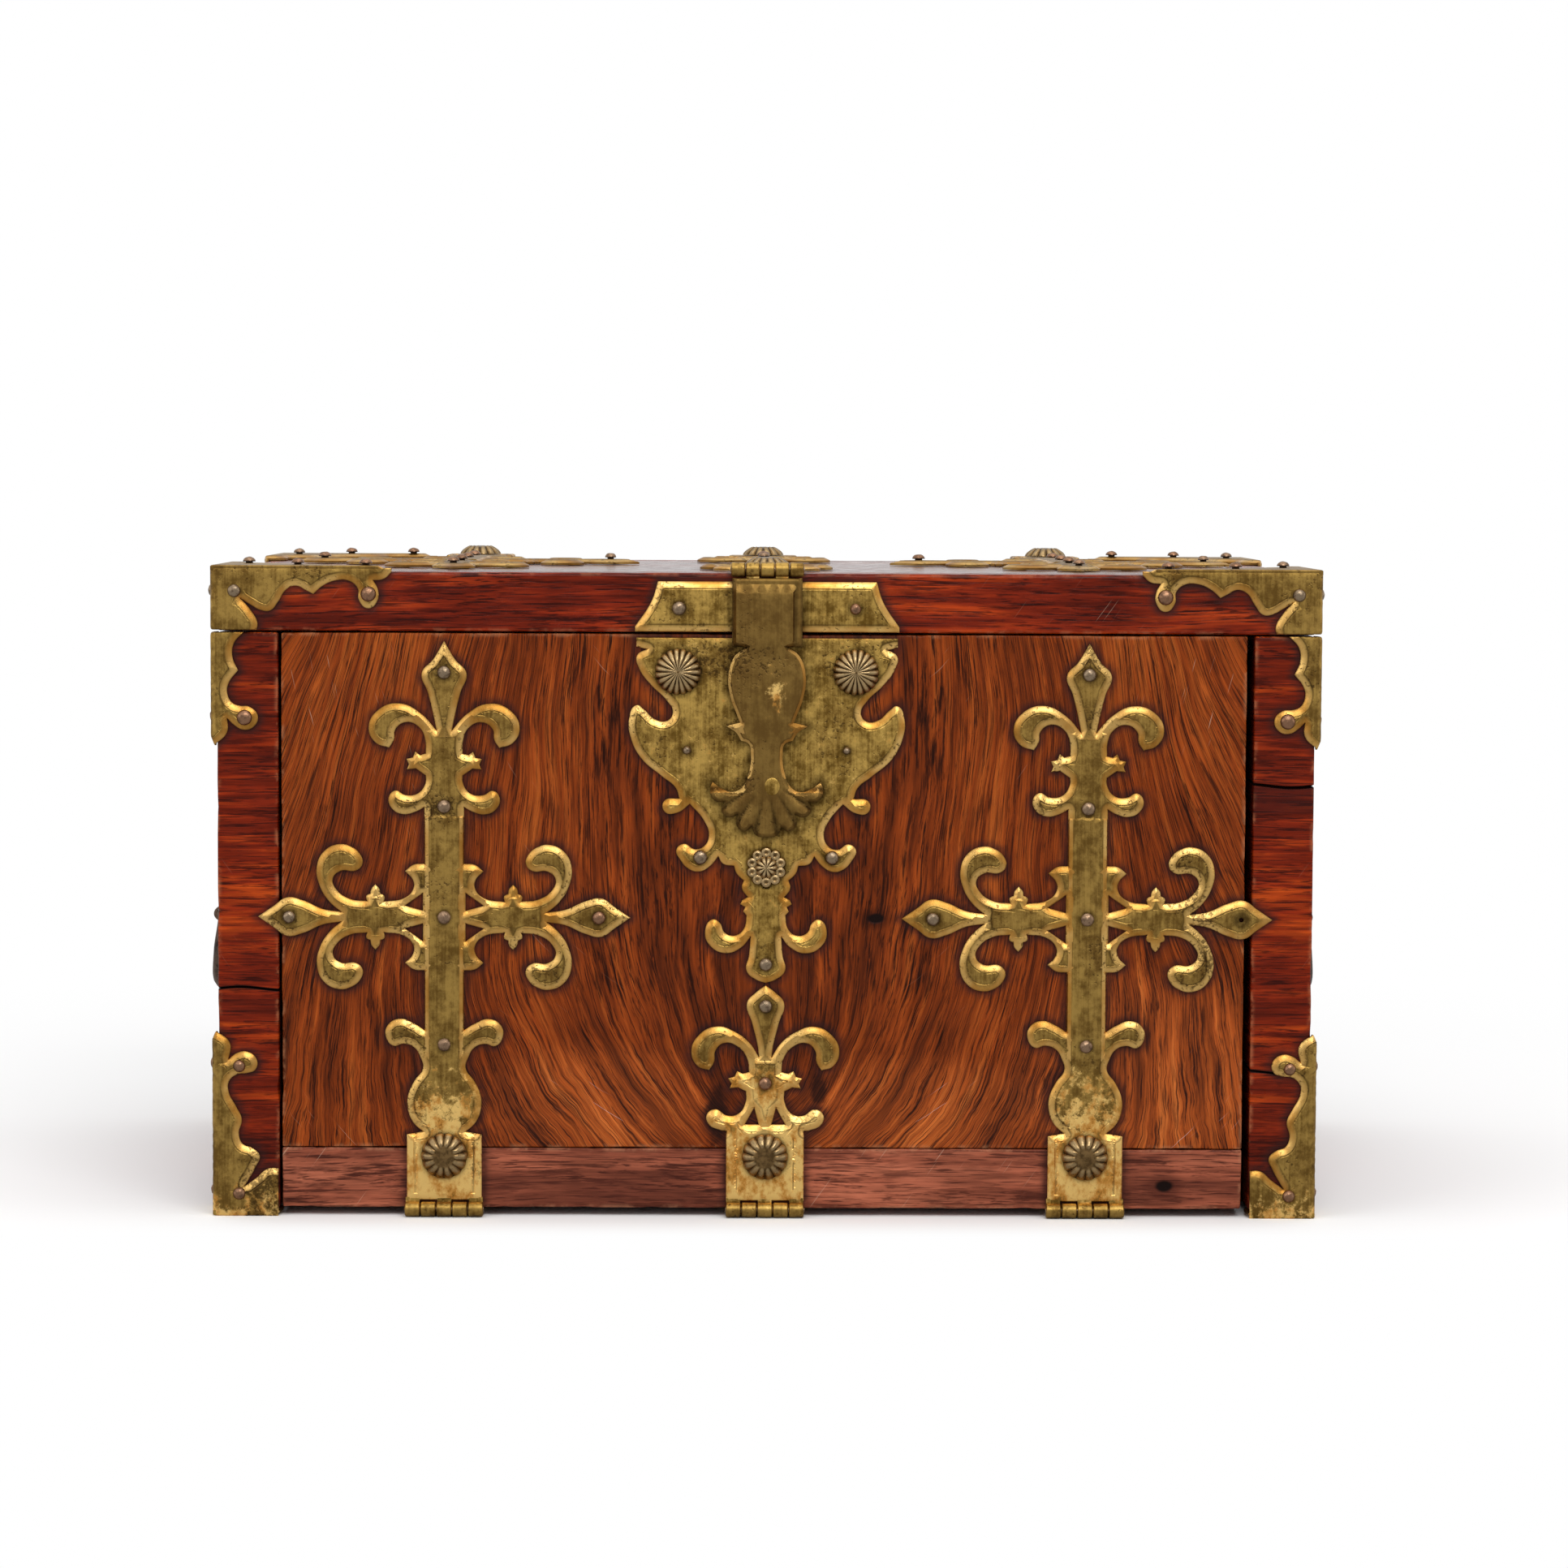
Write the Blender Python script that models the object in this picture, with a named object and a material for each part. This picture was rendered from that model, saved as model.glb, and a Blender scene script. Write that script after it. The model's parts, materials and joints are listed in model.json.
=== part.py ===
"""Brass-mounted travel trunk with hinged lid, fall front, hasp lock and drop handles. Metres, +Z up, front to -Y."""

import math

import bmesh
import bpy
from mathutils import Matrix, Vector

for old in list(bpy.data.objects):
    bpy.data.objects.remove(old, do_unlink=True)

# Every size below is in millimetres.
MM = 0.001

# Wooden box
BODY_WIDTH = 443.0
DRAWN_WIDTH = 443.0
BODY_DEPTH = 270.0
BODY_TOP = 236.7
SIDE_THICK = 24.6
BACK_THICK = 18.0
BASE_THICK = 18.0
JOINT = 0.3

# Brass sheet of the mounts and the air behind it
PLATE = 2.2
SEAT = 0.3
CHAMFER = 1.0
LID_CHAMFER = 0.0  # the lid is seen edge on, so its straps keep plain edges and fewer faces
BASE_RISE = PLATE + 2 * SEAT

# Fall front
FRONT_THICK = 20.0
FRONT_RISE = 3.4
FRONT_GAP_LEFT = 1.2
FRONT_GAP_RIGHT = 3.0
FRONT_BACK_GAP = 0.6
BOTTOM_RAIL = 24.4

# Lid
LID_GAP = 0.6
LID_HEIGHT = 24.0
LID_RAIL = 20.0
LID_BOARD = 10.0
LID_EDGE_ROUND = 2.0

# Hinges
KNUCKLE_R = 3.0
KNUCKLE_COUNT = 5
KNUCKLE_GAP = 0.3
FINGER_INSET = 0.25
HINGE_LENGTH = 32.0
HASP_HINGE_LENGTH = 29.5
PIN_R = 1.2
PIN_CLEAR = 0.3
AXIS_OUT = KNUCKLE_R + SEAT
FLOOR_CLEAR = 0.2
LEAF_START = KNUCKLE_R + 0.5
BASE_LEAF_REACH = 30.0
BASE_LEAF_THICK = 1.7
BACK_LEAF_DROP = 30.0
LEAF_WIDTH = 30.4

# Straps and their rosettes
STRAP_X = 130.0 * BODY_WIDTH / DRAWN_WIDTH
STRAP_TIP_MARGIN = 3.2
LID_TIP_MARGIN = 45.5
ROSETTE_R = 9.2
ROSETTE_RISE = 4.4
ROSETTE_PETALS = 10
ROSETTE_FROM_AXIS = 21.6

# Lock and hasp
LOCK_PLATE_MARGIN = 1.5
LOCK_PLATE_LENGTH = 139.6
SHORT_TIP_GAP = 1.2
LOCK_ROSETTE_X = 35.8
LOCK_ROSETTE_DROP = 13.6
HASP_AXIS_RISE = 1.6
HASP_BOX_RISE = 2.2
STAPLE_DROP = 87.2
STAPLE_WIDTH = 4.0
STAPLE_HEIGHT = 10.6
STAPLE_EYE = 5.2
STAPLE_CLEAR = 0.8
STAPLE_SWING = 2.4
FRONT_SKIN = 8.0
LOCK_CASE_WIDTH = 70.0
LOCK_CASE_WALL = 1.5
BOLT = 4.2
BOLT_CLEAR = 0.3
BOLT_LENGTH = 29.0
BOLT_TAIL = 6.0
BOLT_TRAVEL = 10.0
GUIDE_START = 3.0
BOSS_DROP = 92.4
BOSS_R = 8.2
BOSS_PIVOT_RISE = 6.6
BOSS_BEAD_COUNT = 10
KEYHOLE_R = 2.2
KEYHOLE_DROP = 2.4
KEY_BIT_WIDTH = 2.8
KEY_BIT_LENGTH = 6.0

# Handles
HANDLE_HEIGHT = 113.6
HANDLE_SPAN = 80.0
HANDLE_OUT = 9.5
HANDLE_PLATE_LENGTH = 108.0
HANDLE_PLATE_WIDTH = 22.0
POST_R = 4.6
BAIL_DROP = 31.6
BAIL_R = 5.4
PIVOT_R = 2.2
PIVOT_CLEAR = 0.35

# Places worked out from the sizes
FACE_OUT = SEAT + PLATE
HASP_BACK = FACE_OUT + SEAT
HASP_AXIS_OUT = HASP_BACK + PLATE / 2
FRONT_REACH = max(FACE_OUT + SEAT + ROSETTE_RISE, HASP_BACK + PLATE + HASP_BOX_RISE, HASP_AXIS_OUT + KNUCKLE_R)
BACK_REACH = AXIS_OUT + KNUCKLE_R
Y_FRONT = (FRONT_REACH - BACK_REACH - BODY_DEPTH) / 2
Y_BACK = Y_FRONT + BODY_DEPTH
X_SIDE = BODY_WIDTH / 2
X_OPEN = X_SIDE - SIDE_THICK
Y_INSIDE = Y_FRONT + FRONT_THICK
LID_BOTTOM = BODY_TOP + LID_GAP
LID_TOP = LID_BOTTOM + LID_HEIGHT
FRONT_AXIS = (0.0, Y_FRONT - AXIS_OUT, KNUCKLE_R + FLOOR_CLEAR)
LID_AXIS = (0.0, Y_BACK + AXIS_OUT, (BODY_TOP + LID_BOTTOM) / 2)
HASP_AXIS = (0.0, Y_FRONT - HASP_AXIS_OUT, LID_TOP + HASP_AXIS_RISE)
LOCK_TOP = BODY_TOP - LOCK_PLATE_MARGIN
STAPLE_Z = HASP_AXIS[2] - STAPLE_DROP
BOSS_Z = LOCK_TOP - BOSS_DROP
BOLT_Y = Y_FRONT + FRONT_SKIN + LOCK_CASE_WALL + JOINT + STAPLE_EYE / 2
CASE_TOP = STAPLE_Z + 16.0
CASE_BOTTOM = BOSS_Z - 18.0

COLLECTION = bpy.data.collections.new("travel_trunk")
bpy.context.scene.collection.children.link(COLLECTION)

COLOURS = {
    "rosewood": ((0.24, 0.07, 0.025, 1.0), 0.0, 0.35),
    "brass": ((0.62, 0.42, 0.14, 1.0), 1.0, 0.38),
    "iron": ((0.09, 0.08, 0.075, 1.0), 1.0, 0.5),
}
MATERIALS = {}
for key, (colour, metallic, roughness) in COLOURS.items():
    material = bpy.data.materials.new(key)
    material.use_nodes = True
    shader = material.node_tree.nodes["Principled BSDF"]
    shader.inputs["Base Color"].default_value = colour
    shader.inputs["Metallic"].default_value = metallic
    shader.inputs["Roughness"].default_value = roughness
    MATERIALS[key] = material


def mesh_of(bm):
    mesh = bpy.data.meshes.new("solid")
    bmesh.ops.recalc_face_normals(bm, faces=bm.faces)
    bm.to_mesh(mesh)
    bm.free()
    return mesh


def box(x, y, z, round_edges=None, radius=0.0):
    """A block from three (low, high) pairs. round_edges picks, from an edge's middle, the edges that are rounded."""
    bm = bmesh.new()
    bmesh.ops.create_cube(bm, size=1.0)
    for v in bm.verts:
        v.co = Vector([low + (c + 0.5) * (high - low) for c, (low, high) in zip(v.co, (x, y, z))])
    if round_edges:
        picked = [e for e in bm.edges if round_edges((e.verts[0].co + e.verts[1].co) / 2)]
        bmesh.ops.bevel(bm, geom=picked, offset=radius, segments=2, profile=0.5, affect="EDGES")
    return mesh_of(bm)


def rod(start, end, radius, sides=8):
    """A cylinder between two points."""
    start, end = Vector(start), Vector(end)
    turn = (end - start).to_track_quat("Z", "Y").to_matrix().to_4x4()
    bm = bmesh.new()
    bmesh.ops.create_cone(
        bm, cap_ends=True, segments=sides, radius1=radius, radius2=radius, depth=(end - start).length,
        matrix=Matrix.Translation((start + end) / 2) @ turn,
    )
    return mesh_of(bm)


def boolean(mesh, others, operation):
    """The mesh joined with, or cut by, each of the others in turn."""
    target = bpy.data.objects.new("target", mesh)
    bpy.context.scene.collection.objects.link(target)
    helpers = []
    for other in others:
        helper = bpy.data.objects.new("helper", other)
        bpy.context.scene.collection.objects.link(helper)
        modifier = target.modifiers.new("boolean", "BOOLEAN")
        modifier.operation = operation
        modifier.solver = "EXACT"
        modifier.object = helper
        helpers.append(helper)
    graph = bpy.context.evaluated_depsgraph_get()
    result = bpy.data.meshes.new_from_object(target.evaluated_get(graph))
    for used in helpers + [target]:
        bpy.data.objects.remove(used, do_unlink=True)
    return result


def union(mesh, *others):
    return boolean(mesh, others, "UNION")


def cut(mesh, *others):
    return boolean(mesh, others, "DIFFERENCE")


def mirrored(half):
    """A closed outline from its right half, listed from the top to the bottom."""
    return half + [(-u, v, kind) for u, v, kind in reversed(half) if abs(u) > 1e-6]


def plate(points, thick=PLATE, chamfer=CHAMFER):
    """A flat mount with its outline at w = 0 and its front edge chamfered. A point's third value is 1 where it is round."""
    curve = bpy.data.curves.new("outline", "CURVE")
    curve.dimensions = "2D"
    curve.fill_mode = "BOTH"
    curve.resolution_u = 1
    curve.extrude = thick - chamfer
    if chamfer:
        curve.bevel_depth = chamfer
        curve.bevel_resolution = 0
        curve.offset = -chamfer
    spline = curve.splines.new("BEZIER")
    spline.bezier_points.add(len(points) - 1)
    spline.use_cyclic_u = True
    for knot, (u, v, kind) in zip(spline.bezier_points, points):
        knot.co = (u, v, 0.0)
        knot.handle_left_type = knot.handle_right_type = "AUTO" if kind else "VECTOR"
    holder = bpy.data.objects.new("outline", curve)
    bpy.context.scene.collection.objects.link(holder)
    graph = bpy.context.evaluated_depsgraph_get()
    raw = bpy.data.meshes.new_from_object(holder.evaluated_get(graph))
    bpy.data.objects.remove(holder, do_unlink=True)
    bm = bmesh.new()
    bm.from_mesh(raw)
    for v in bm.verts:
        v.co.z = max(v.co.z, 0.0)
    bmesh.ops.remove_doubles(bm, verts=bm.verts, dist=0.002)
    # The flattened back is one face, not a ring of slivers
    back = [f for f in bm.faces if all(v.co.z < 1e-6 for v in f.verts)]
    bmesh.ops.dissolve_faces(bm, faces=back, use_verts=True)
    return mesh_of(bm)


def placed(mesh, origin, u, v, w):
    """The mesh moved so that its own axes u, v and w lie along these directions."""
    turn = Matrix((Vector(u), Vector(v), Vector(w))).transposed().to_4x4()
    mesh.transform(Matrix.Translation(Vector(origin)) @ turn)
    if turn.determinant() < 0:
        mesh.flip_normals()
    return mesh


def reflected(mesh, x=None, y=None):
    """A copy of the mesh mirrored in the plane at this x or y."""
    copy = mesh.copy()
    for v in copy.vertices:
        if x is not None:
            v.co.x = 2 * x - v.co.x
        if y is not None:
            v.co.y = 2 * y - v.co.y
    if (x is None) != (y is None):
        copy.flip_normals()
    return copy


def part(name, mesh, material, pivot=(0.0, 0.0, 0.0)):
    """A named piece of the trunk, with its origin on the axis that it turns on."""
    mesh.transform(Matrix.Translation(-Vector(pivot)))
    mesh.transform(Matrix.Scale(MM, 4))
    mesh.name = name
    mesh.materials.clear()
    mesh.materials.append(MATERIALS[material])
    piece = bpy.data.objects.new(name, mesh)
    piece.location = Vector(pivot) * MM
    COLLECTION.objects.link(piece)
    return piece


def rosette(radius=ROSETTE_R, rise=ROSETTE_RISE, petals=ROSETTE_PETALS):
    """A domed boss with a scalloped rim, standing on w = 0."""
    bm = bmesh.new()
    rings = []
    for share, height, wave in ((0.97, 0.0, 0.0), (0.97, 0.22, 0.05), (0.70, 0.78, 0.05), (0.28, 1.0, 0.0)):
        ring = []
        for i in range(2 * petals):
            angle = math.pi * i / petals
            r = radius * share * (1 + (wave if i % 2 else -wave))
            ring.append(bm.verts.new((r * math.cos(angle), r * math.sin(angle), rise * height)))
        rings.append(ring)
    for low, high in zip(rings, rings[1:]):
        for i in range(len(low)):
            j = (i + 1) % len(low)
            bm.faces.new((low[i], low[j], high[j], high[i]))
    bm.faces.new(list(reversed(rings[0])))
    bm.faces.new(rings[-1])
    return mesh_of(bm)


# Outlines of the mounts: right half from top to bottom, u to the right and v up, 1 for a round point and 0 for a sharp one.
# The cross is drawn about the middle of its arms, and its hinge axis lies CROSS_AXIS below them.
CROSS_AXIS = 118.7
CROSS_TIP = 111.6
CROSS_HEAD = [
    (0.0, 111.6, 0), (4.4, 104.2, 1), (9.0, 98.6, 1), (6.6, 91.0, 1), (3.8, 79.4, 1), (3.1, 75.6, 0),
    (9.4, 82.4, 1), (17.8, 86.4, 1), (26.2, 84.0, 1), (30.4, 76.8, 1), (27.6, 70.6, 1), (22.2, 68.6, 0),
    (20.2, 71.8, 1), (19.6, 76.0, 1), (15.2, 78.9, 1), (9.8, 76.6, 1), (7.6, 71.6, 1), (7.4, 66.2, 0),
    (15.2, 62.6, 0), (7.4, 58.4, 0), (7.4, 54.8, 1), (10.4, 50.2, 1), (15.6, 49.4, 1), (19.8, 51.2, 1),
    (22.4, 48.2, 1), (20.9, 43.8, 1), (16.6, 41.7, 1), (11.6, 42.7, 1), (8.0, 44.6, 0),
]
CROSS_ARM = [
    (8.0, 21.6, 0), (12.4, 21.2, 1), (15.8, 18.6, 0), (12.6, 15.0, 1), (12.4, 11.6, 1), (15.9, 7.8, 1), (24.2, 6.3, 0),
    (27.7, 13.6, 0), (31.0, 6.4, 0), (37.9, 7.2, 1), (43.5, 11.0, 1), (45.0, 15.4, 1), (41.8, 18.6, 1), (35.6, 18.8, 1),
    (33.0, 21.4, 1), (33.8, 25.2, 1), (37.9, 28.6, 1), (42.6, 29.4, 1), (48.4, 26.6, 1), (51.4, 20.2, 1),
    (50.2, 12.4, 1), (46.4, 6.2, 1), (41.6, 2.0, 0), (48.8, 3.1, 1), (57.0, 6.6, 1), (63.4, 7.8, 1), (69.0, 4.2, 1),
]
CROSS_ARM_TIP = [(75.1, 0.0, 0)]
CROSS_FOOT = [
    (8.0, -46.0, 0), (12.1, -43.4, 1), (18.3, -41.4, 1), (23.0, -44.2, 1), (23.6, -48.8, 1), (20.6, -52.4, 1),
    (16.5, -51.5, 1), (12.2, -53.0, 1), (9.6, -57.2, 1), (8.6, -61.4, 1), (12.1, -66.7, 1), (14.7, -72.8, 1),
    (14.8, -78.0, 1), (12.6, -83.6, 1), (8.6, -87.4, 0), (15.1, -88.5, 0), (15.1, LEAF_START - CROSS_AXIS, 0),
]
CROSS_HALF = CROSS_HEAD + CROSS_ARM + CROSS_ARM_TIP
CROSS_HALF = CROSS_HALF + [(u, -v, kind) for u, v, kind in reversed(CROSS_ARM)] + CROSS_FOOT
CROSS_OPENING = [(8.6, 9.8, 0), (16.0, 4.6, 0), (8.6, 2.6, 0)]

# The short strap is drawn from its hinge axis.
SHORT_TIP = 91.4
SHORT_HALF = [
    (0.0, SHORT_TIP, 0), (3.8, 88.6, 1), (7.5, 84.2, 1), (5.4, 76.0, 1), (3.0, 66.0, 1), (2.6, 62.2, 0), (6.4, 67.9, 1),
    (12.3, 72.4, 1), (19.8, 74.6, 1), (27.0, 71.0, 1), (30.0, 64.3, 1), (27.4, 58.4, 1), (22.8, 56.8, 0), (20.8, 60.0, 1),
    (20.2, 64.8, 1), (16.6, 67.9, 1), (11.0, 66.3, 1), (7.2, 61.1, 1), (6.6, 56.0, 0), (15.0, 53.0, 0), (7.8, 49.2, 0),
    (7.8, 44.0, 1), (10.8, 39.0, 1), (15.4, 38.2, 1), (20.2, 40.8, 1), (23.7, 38.4, 1), (22.6, 34.4, 1), (17.8, 32.2, 0),
    (15.7, 31.8, 0), (15.7, LEAF_START, 0),
]
SHORT_OPENING = [(4.4, 41.6, 0), (8.2, 34.6, 0), (2.6, 34.6, 0)]

# The lock plate is drawn from the middle of its top edge.
LOCK_HALF = [
    (52.6, 0.0, 0), (52.6, -3.6, 0), (48.4, -4.6, 0), (52.4, -7.2, 1), (51.4, -12.6, 1), (46.6, -19.1, 1), (40.4, -25.2, 1),
    (37.9, -30.0, 1), (40.0, -33.4, 1), (44.9, -33.0, 1), (49.6, -28.9, 1), (52.6, -27.2, 1), (55.5, -32.7, 1),
    (54.8, -40.4, 1), (50.6, -48.6, 1), (42.4, -55.7, 1), (36.6, -60.6, 1), (35.2, -64.8, 0), (41.4, -66.0, 1),
    (40.9, -70.4, 1), (36.1, -70.6, 1), (30.9, -67.0, 0), (25.4, -73.4, 1), (23.2, -79.3, 1), (24.8, -83.8, 1),
    (28.8, -85.4, 1), (33.2, -83.2, 1), (36.3, -85.6, 1), (34.6, -89.8, 1), (31.2, -93.4, 1), (27.0, -94.4, 1),
    (22.8, -92.2, 1), (19.4, -88.2, 0), (17.4, -91.2, 1), (13.0, -92.0, 0), (12.0, -95.0, 1), (9.0, -98.0, 0),
    (9.8, -101.0, 1), (7.4, -104.7, 0), (11.6, -108.4, 0), (7.8, -112.2, 0), (9.0, -117.8, 1), (12.7, -120.4, 1),
    (16.8, -119.1, 1), (18.6, -115.3, 1), (21.6, -113.8, 1), (24.6, -118.8, 1), (22.4, -124.7, 1), (16.0, -127.5, 1),
    (10.0, -125.2, 1), (6.2, -120.8, 0), (6.8, -128.6, 1), (7.8, -134.6, 1), (4.0, -138.2, 1), (0.0, -LOCK_PLATE_LENGTH, 0),
]

# The hasp is drawn from its hinge axis.
HASP_HALF = [
    (14.1, -LEAF_START, 0), (14.1, -30.9, 0), (8.3, -31.2, 0), (12.8, -34.6, 1), (15.5, -42.4, 1), (14.8, -50.8, 1),
    (12.2, -58.1, 1), (10.8, -61.6, 0), (16.4, -63.0, 0), (12.4, -65.6, 1), (10.4, -68.8, 0), (7.2, -70.2, 1),
    (6.4, -74.2, 1), (7.2, -82.0, 1), (9.8, -87.6, 1), (13.6, -89.6, 1), (17.8, -88.4, 1), (21.8, -85.6, 0),
    (22.0, -91.0, 1), (17.6, -95.0, 0), (15.2, -98.2, 1), (11.4, -100.0, 0), (9.8, -104.4, 1), (5.6, -106.8, 0),
    (2.6, -106.0, 1), (0.0, -107.8, 0),
]
LID_PLATE_HALF = [(44.0, 20.6, 0), (46.6, 12.6, 1), (53.2, 2.4, 0), (53.2, 0.4, 0)]

# Corner flanges are drawn from the outer corner, u inwards from it.
LID_FLANGE = [
    (0.0, 0.4, 0), (18.9, 0.4, 0), (19.3, 3.0, 1), (16.5, 8.4, 1), (12.5, 13.0, 0), (16.7, 10.4, 1), (20.8, 8.3, 1),
    (24.4, 8.2, 1), (27.6, 11.8, 1), (31.0, 16.8, 1), (34.9, 18.2, 1), (38.8, 16.4, 1), (41.7, 14.9, 0), (45.5, 18.2, 1),
    (50.7, 20.4, 1), (56.2, 20.2, 1), (59.6, 17.2, 1), (60.0, 12.6, 1), (63.8, 9.2, 1), (67.5, 12.4, 1), (67.6, 17.0, 1),
    (65.8, 20.4, 0), (70.2, 21.2, 1),
]
LID_FLANGE_REACH = 73.2
TOP_FLANGE = [
    (0.0, 0.0, 0), (70.0, 0.0, 0), (68.8, 6.0, 1), (63.0, 9.6, 1), (56.4, 8.4, 1), (51.0, 10.0, 0), (46.0, 18.4, 1),
    (38.0, 23.6, 1), (30.0, 30.0, 0), (23.6, 38.0, 1), (18.4, 46.0, 1), (10.0, 51.0, 0), (8.4, 56.4, 1), (9.6, 63.0, 1),
    (6.0, 68.8, 1), (0.0, 70.0, 0),
]
UPPER_FLANGE = [
    (0.0, 0.0, 0), (13.6, 0.0, 0), (9.8, -4.4, 1), (9.2, -10.1, 1), (11.4, -15.3, 0), (7.6, -20.5, 1), (7.0, -24.4, 1),
    (9.0, -28.4, 1), (12.0, -29.6, 1), (15.9, -30.0, 1), (19.3, -33.7, 1), (17.4, -38.2, 1), (13.2, -39.2, 1),
    (9.6, -37.2, 1), (7.0, -34.8, 0), (7.0, -40.0, 1), (3.8, -43.8, 1), (0.0, -45.6, 0),
]
FOOT_FLANGE = [
    (0.0, 75.2, 0), (4.0, 73.9, 1), (7.6, 70.2, 1), (7.0, 63.8, 0), (10.3, 66.3, 1), (14.6, 66.9, 1), (18.4, 63.6, 1),
    (17.8, 59.6, 1), (14.4, 58.2, 1), (10.2, 57.6, 1), (7.0, 54.6, 1), (7.0, 50.2, 1), (10.0, 44.4, 1), (12.2, 39.4, 1),
    (11.0, 33.2, 1), (12.6, 29.2, 1), (16.4, 27.6, 1), (19.4, 24.4, 1), (18.0, 20.4, 1), (13.2, 11.8, 0), (18.2, 15.5, 1),
    (22.8, 19.2, 1), (27.0, 19.3, 0), (27.0, 0.0, 0), (0.0, 0.0, 0),
]
FOOT_PAD = [(0.0, 0.0, 0), (27.0, 0.0, 0), (27.0, 12.0, 1), (19.0, 19.0, 0), (12.0, 27.0, 1), (0.0, 27.0, 0)]


def stretched(points, share, about=0.0, across=1.0):
    return [(u * across, about + (v - about) * share, kind) for u, v, kind in points]


def knuckle_spans(length, first):
    """The (low, high) spans of every other knuckle along a hinge, starting with knuckle number first."""
    pitch = length / KNUCKLE_COUNT
    spans = []
    for i in range(first, KNUCKLE_COUNT, 2):
        spans.append((i * pitch - length / 2 + KNUCKLE_GAP / 2, (i + 1) * pitch - length / 2 - KNUCKLE_GAP / 2))
    return spans


def hinged(leaf, x, axis, length, first, y, z):
    """The leaf joined to its knuckles on the axis. y and z are the spans, from the axis, of the fingers between them."""
    fingers = []
    barrels = []
    for low, high in knuckle_spans(length, first):
        span = (x + low, x + high)
        narrow = (span[0] + FINGER_INSET, span[1] - FINGER_INSET)
        fingers.append(box(narrow, (axis[1] + y[0], axis[1] + y[1]), (axis[2] + z[0], axis[2] + z[1])))
        barrels.append(rod((span[0], axis[1], axis[2]), (span[1], axis[1], axis[2]), KNUCKLE_R))
    joined = union(leaf, *fingers, *barrels)
    far = length
    return cut(joined, rod((x - far, axis[1], axis[2]), (x + far, axis[1], axis[2]), PIN_R + PIN_CLEAR, 6))


def pin(name, x, axis, length, pivot=(0.0, 0.0, 0.0)):
    mesh = rod((x - length / 2, axis[1], axis[2]), (x + length / 2, axis[1], axis[2]), PIN_R, 6)
    part(name, mesh, "iron", pivot)


def prism(points, low, high):
    """A straight-walled cutter through a mount's sheet."""
    bm = bmesh.new()
    bottom = [bm.verts.new((p[0], p[1], low)) for p in points]
    top = [bm.verts.new((p[0], p[1], high)) for p in points]
    bm.faces.new(list(reversed(bottom)))
    bm.faces.new(top)
    for i in range(len(points)):
        j = (i + 1) % len(points)
        bm.faces.new((bottom[i], bottom[j], top[j], top[i]))
    return mesh_of(bm)


def pierced(half, opening, both_ways, share=1.0, about=0.0, across=1.0, chamfer=CHAMFER):
    """A strap with this opening, its mirror image and, with both_ways, the same two below, all stretched together."""
    cutters = []
    for side in (1, -1):
        for up in (1, -1) if both_ways else (1,):
            turned = [(u * side, v * up, kind) for u, v, kind in opening]
            cutters.append(prism(stretched(turned, share, about, across), -1.0, PLATE + 1.0))
    return cut(plate(mirrored(stretched(half, share, about, across)), PLATE, chamfer), *cutters)


# Carcass: two full-depth sides with the back and the base between them
for side, sign in (("left", -1), ("right", 1)):
    spans = sorted((sign * X_OPEN, sign * X_SIDE))
    part(f"{side}_side_board", box(spans, (Y_FRONT, Y_BACK), (BASE_RISE, BODY_TOP)), "rosewood")
inner = (-X_OPEN + JOINT, X_OPEN - JOINT)
part("back_board", box(inner, (Y_BACK - BACK_THICK, Y_BACK), (BASE_RISE, BODY_TOP)), "rosewood")
base_y = (Y_INSIDE + FRONT_BACK_GAP, Y_BACK - BACK_THICK - JOINT)
part("base_board", box(inner, base_y, (BASE_RISE, BASE_RISE + BASE_THICK)), "rosewood")

# Fall front: panel over a bottom rail, with the lock's mortise, staple slot and keyhole
front_x = (-X_OPEN + FRONT_GAP_LEFT, X_OPEN - FRONT_GAP_RIGHT)
rail_top = FRONT_RISE + BOTTOM_RAIL
part("front_bottom_rail", box(front_x, (Y_FRONT, Y_INSIDE), (FRONT_RISE, rail_top)), "rosewood", FRONT_AXIS)
slot_half = STAPLE_WIDTH / 2 + STAPLE_CLEAR
slot_z = (STAPLE_Z - STAPLE_HEIGHT / 2 - STAPLE_SWING, STAPLE_Z + STAPLE_HEIGHT / 2 + STAPLE_CLEAR)
key_z = BOSS_Z - KEYHOLE_DROP
through = (Y_FRONT - FACE_OUT - 1.0, Y_INSIDE + 1.0)


def lock_openings():
    """Cutters for the staple's slot and the keyhole through plate, panel and case."""
    bit = (-KEY_BIT_WIDTH / 2, KEY_BIT_WIDTH / 2)
    eye = rod((0.0, through[0], key_z), (0.0, through[1], key_z), KEYHOLE_R, 12)
    keyhole = union(eye, box(bit, through, (key_z - KEY_BIT_LENGTH, key_z)))
    return [box((-slot_half, slot_half), through, slot_z), keyhole]


panel = box(front_x, (Y_FRONT, Y_INSIDE), (rail_top + JOINT, BODY_TOP))
mortise_x = (-LOCK_CASE_WIDTH / 2, LOCK_CASE_WIDTH / 2)
mortise = box(mortise_x, (Y_FRONT + FRONT_SKIN, Y_INSIDE + 1.0), (CASE_BOTTOM, CASE_TOP))
part("front_panel", cut(panel, mortise, *lock_openings()), "rosewood", FRONT_AXIS)

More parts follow.
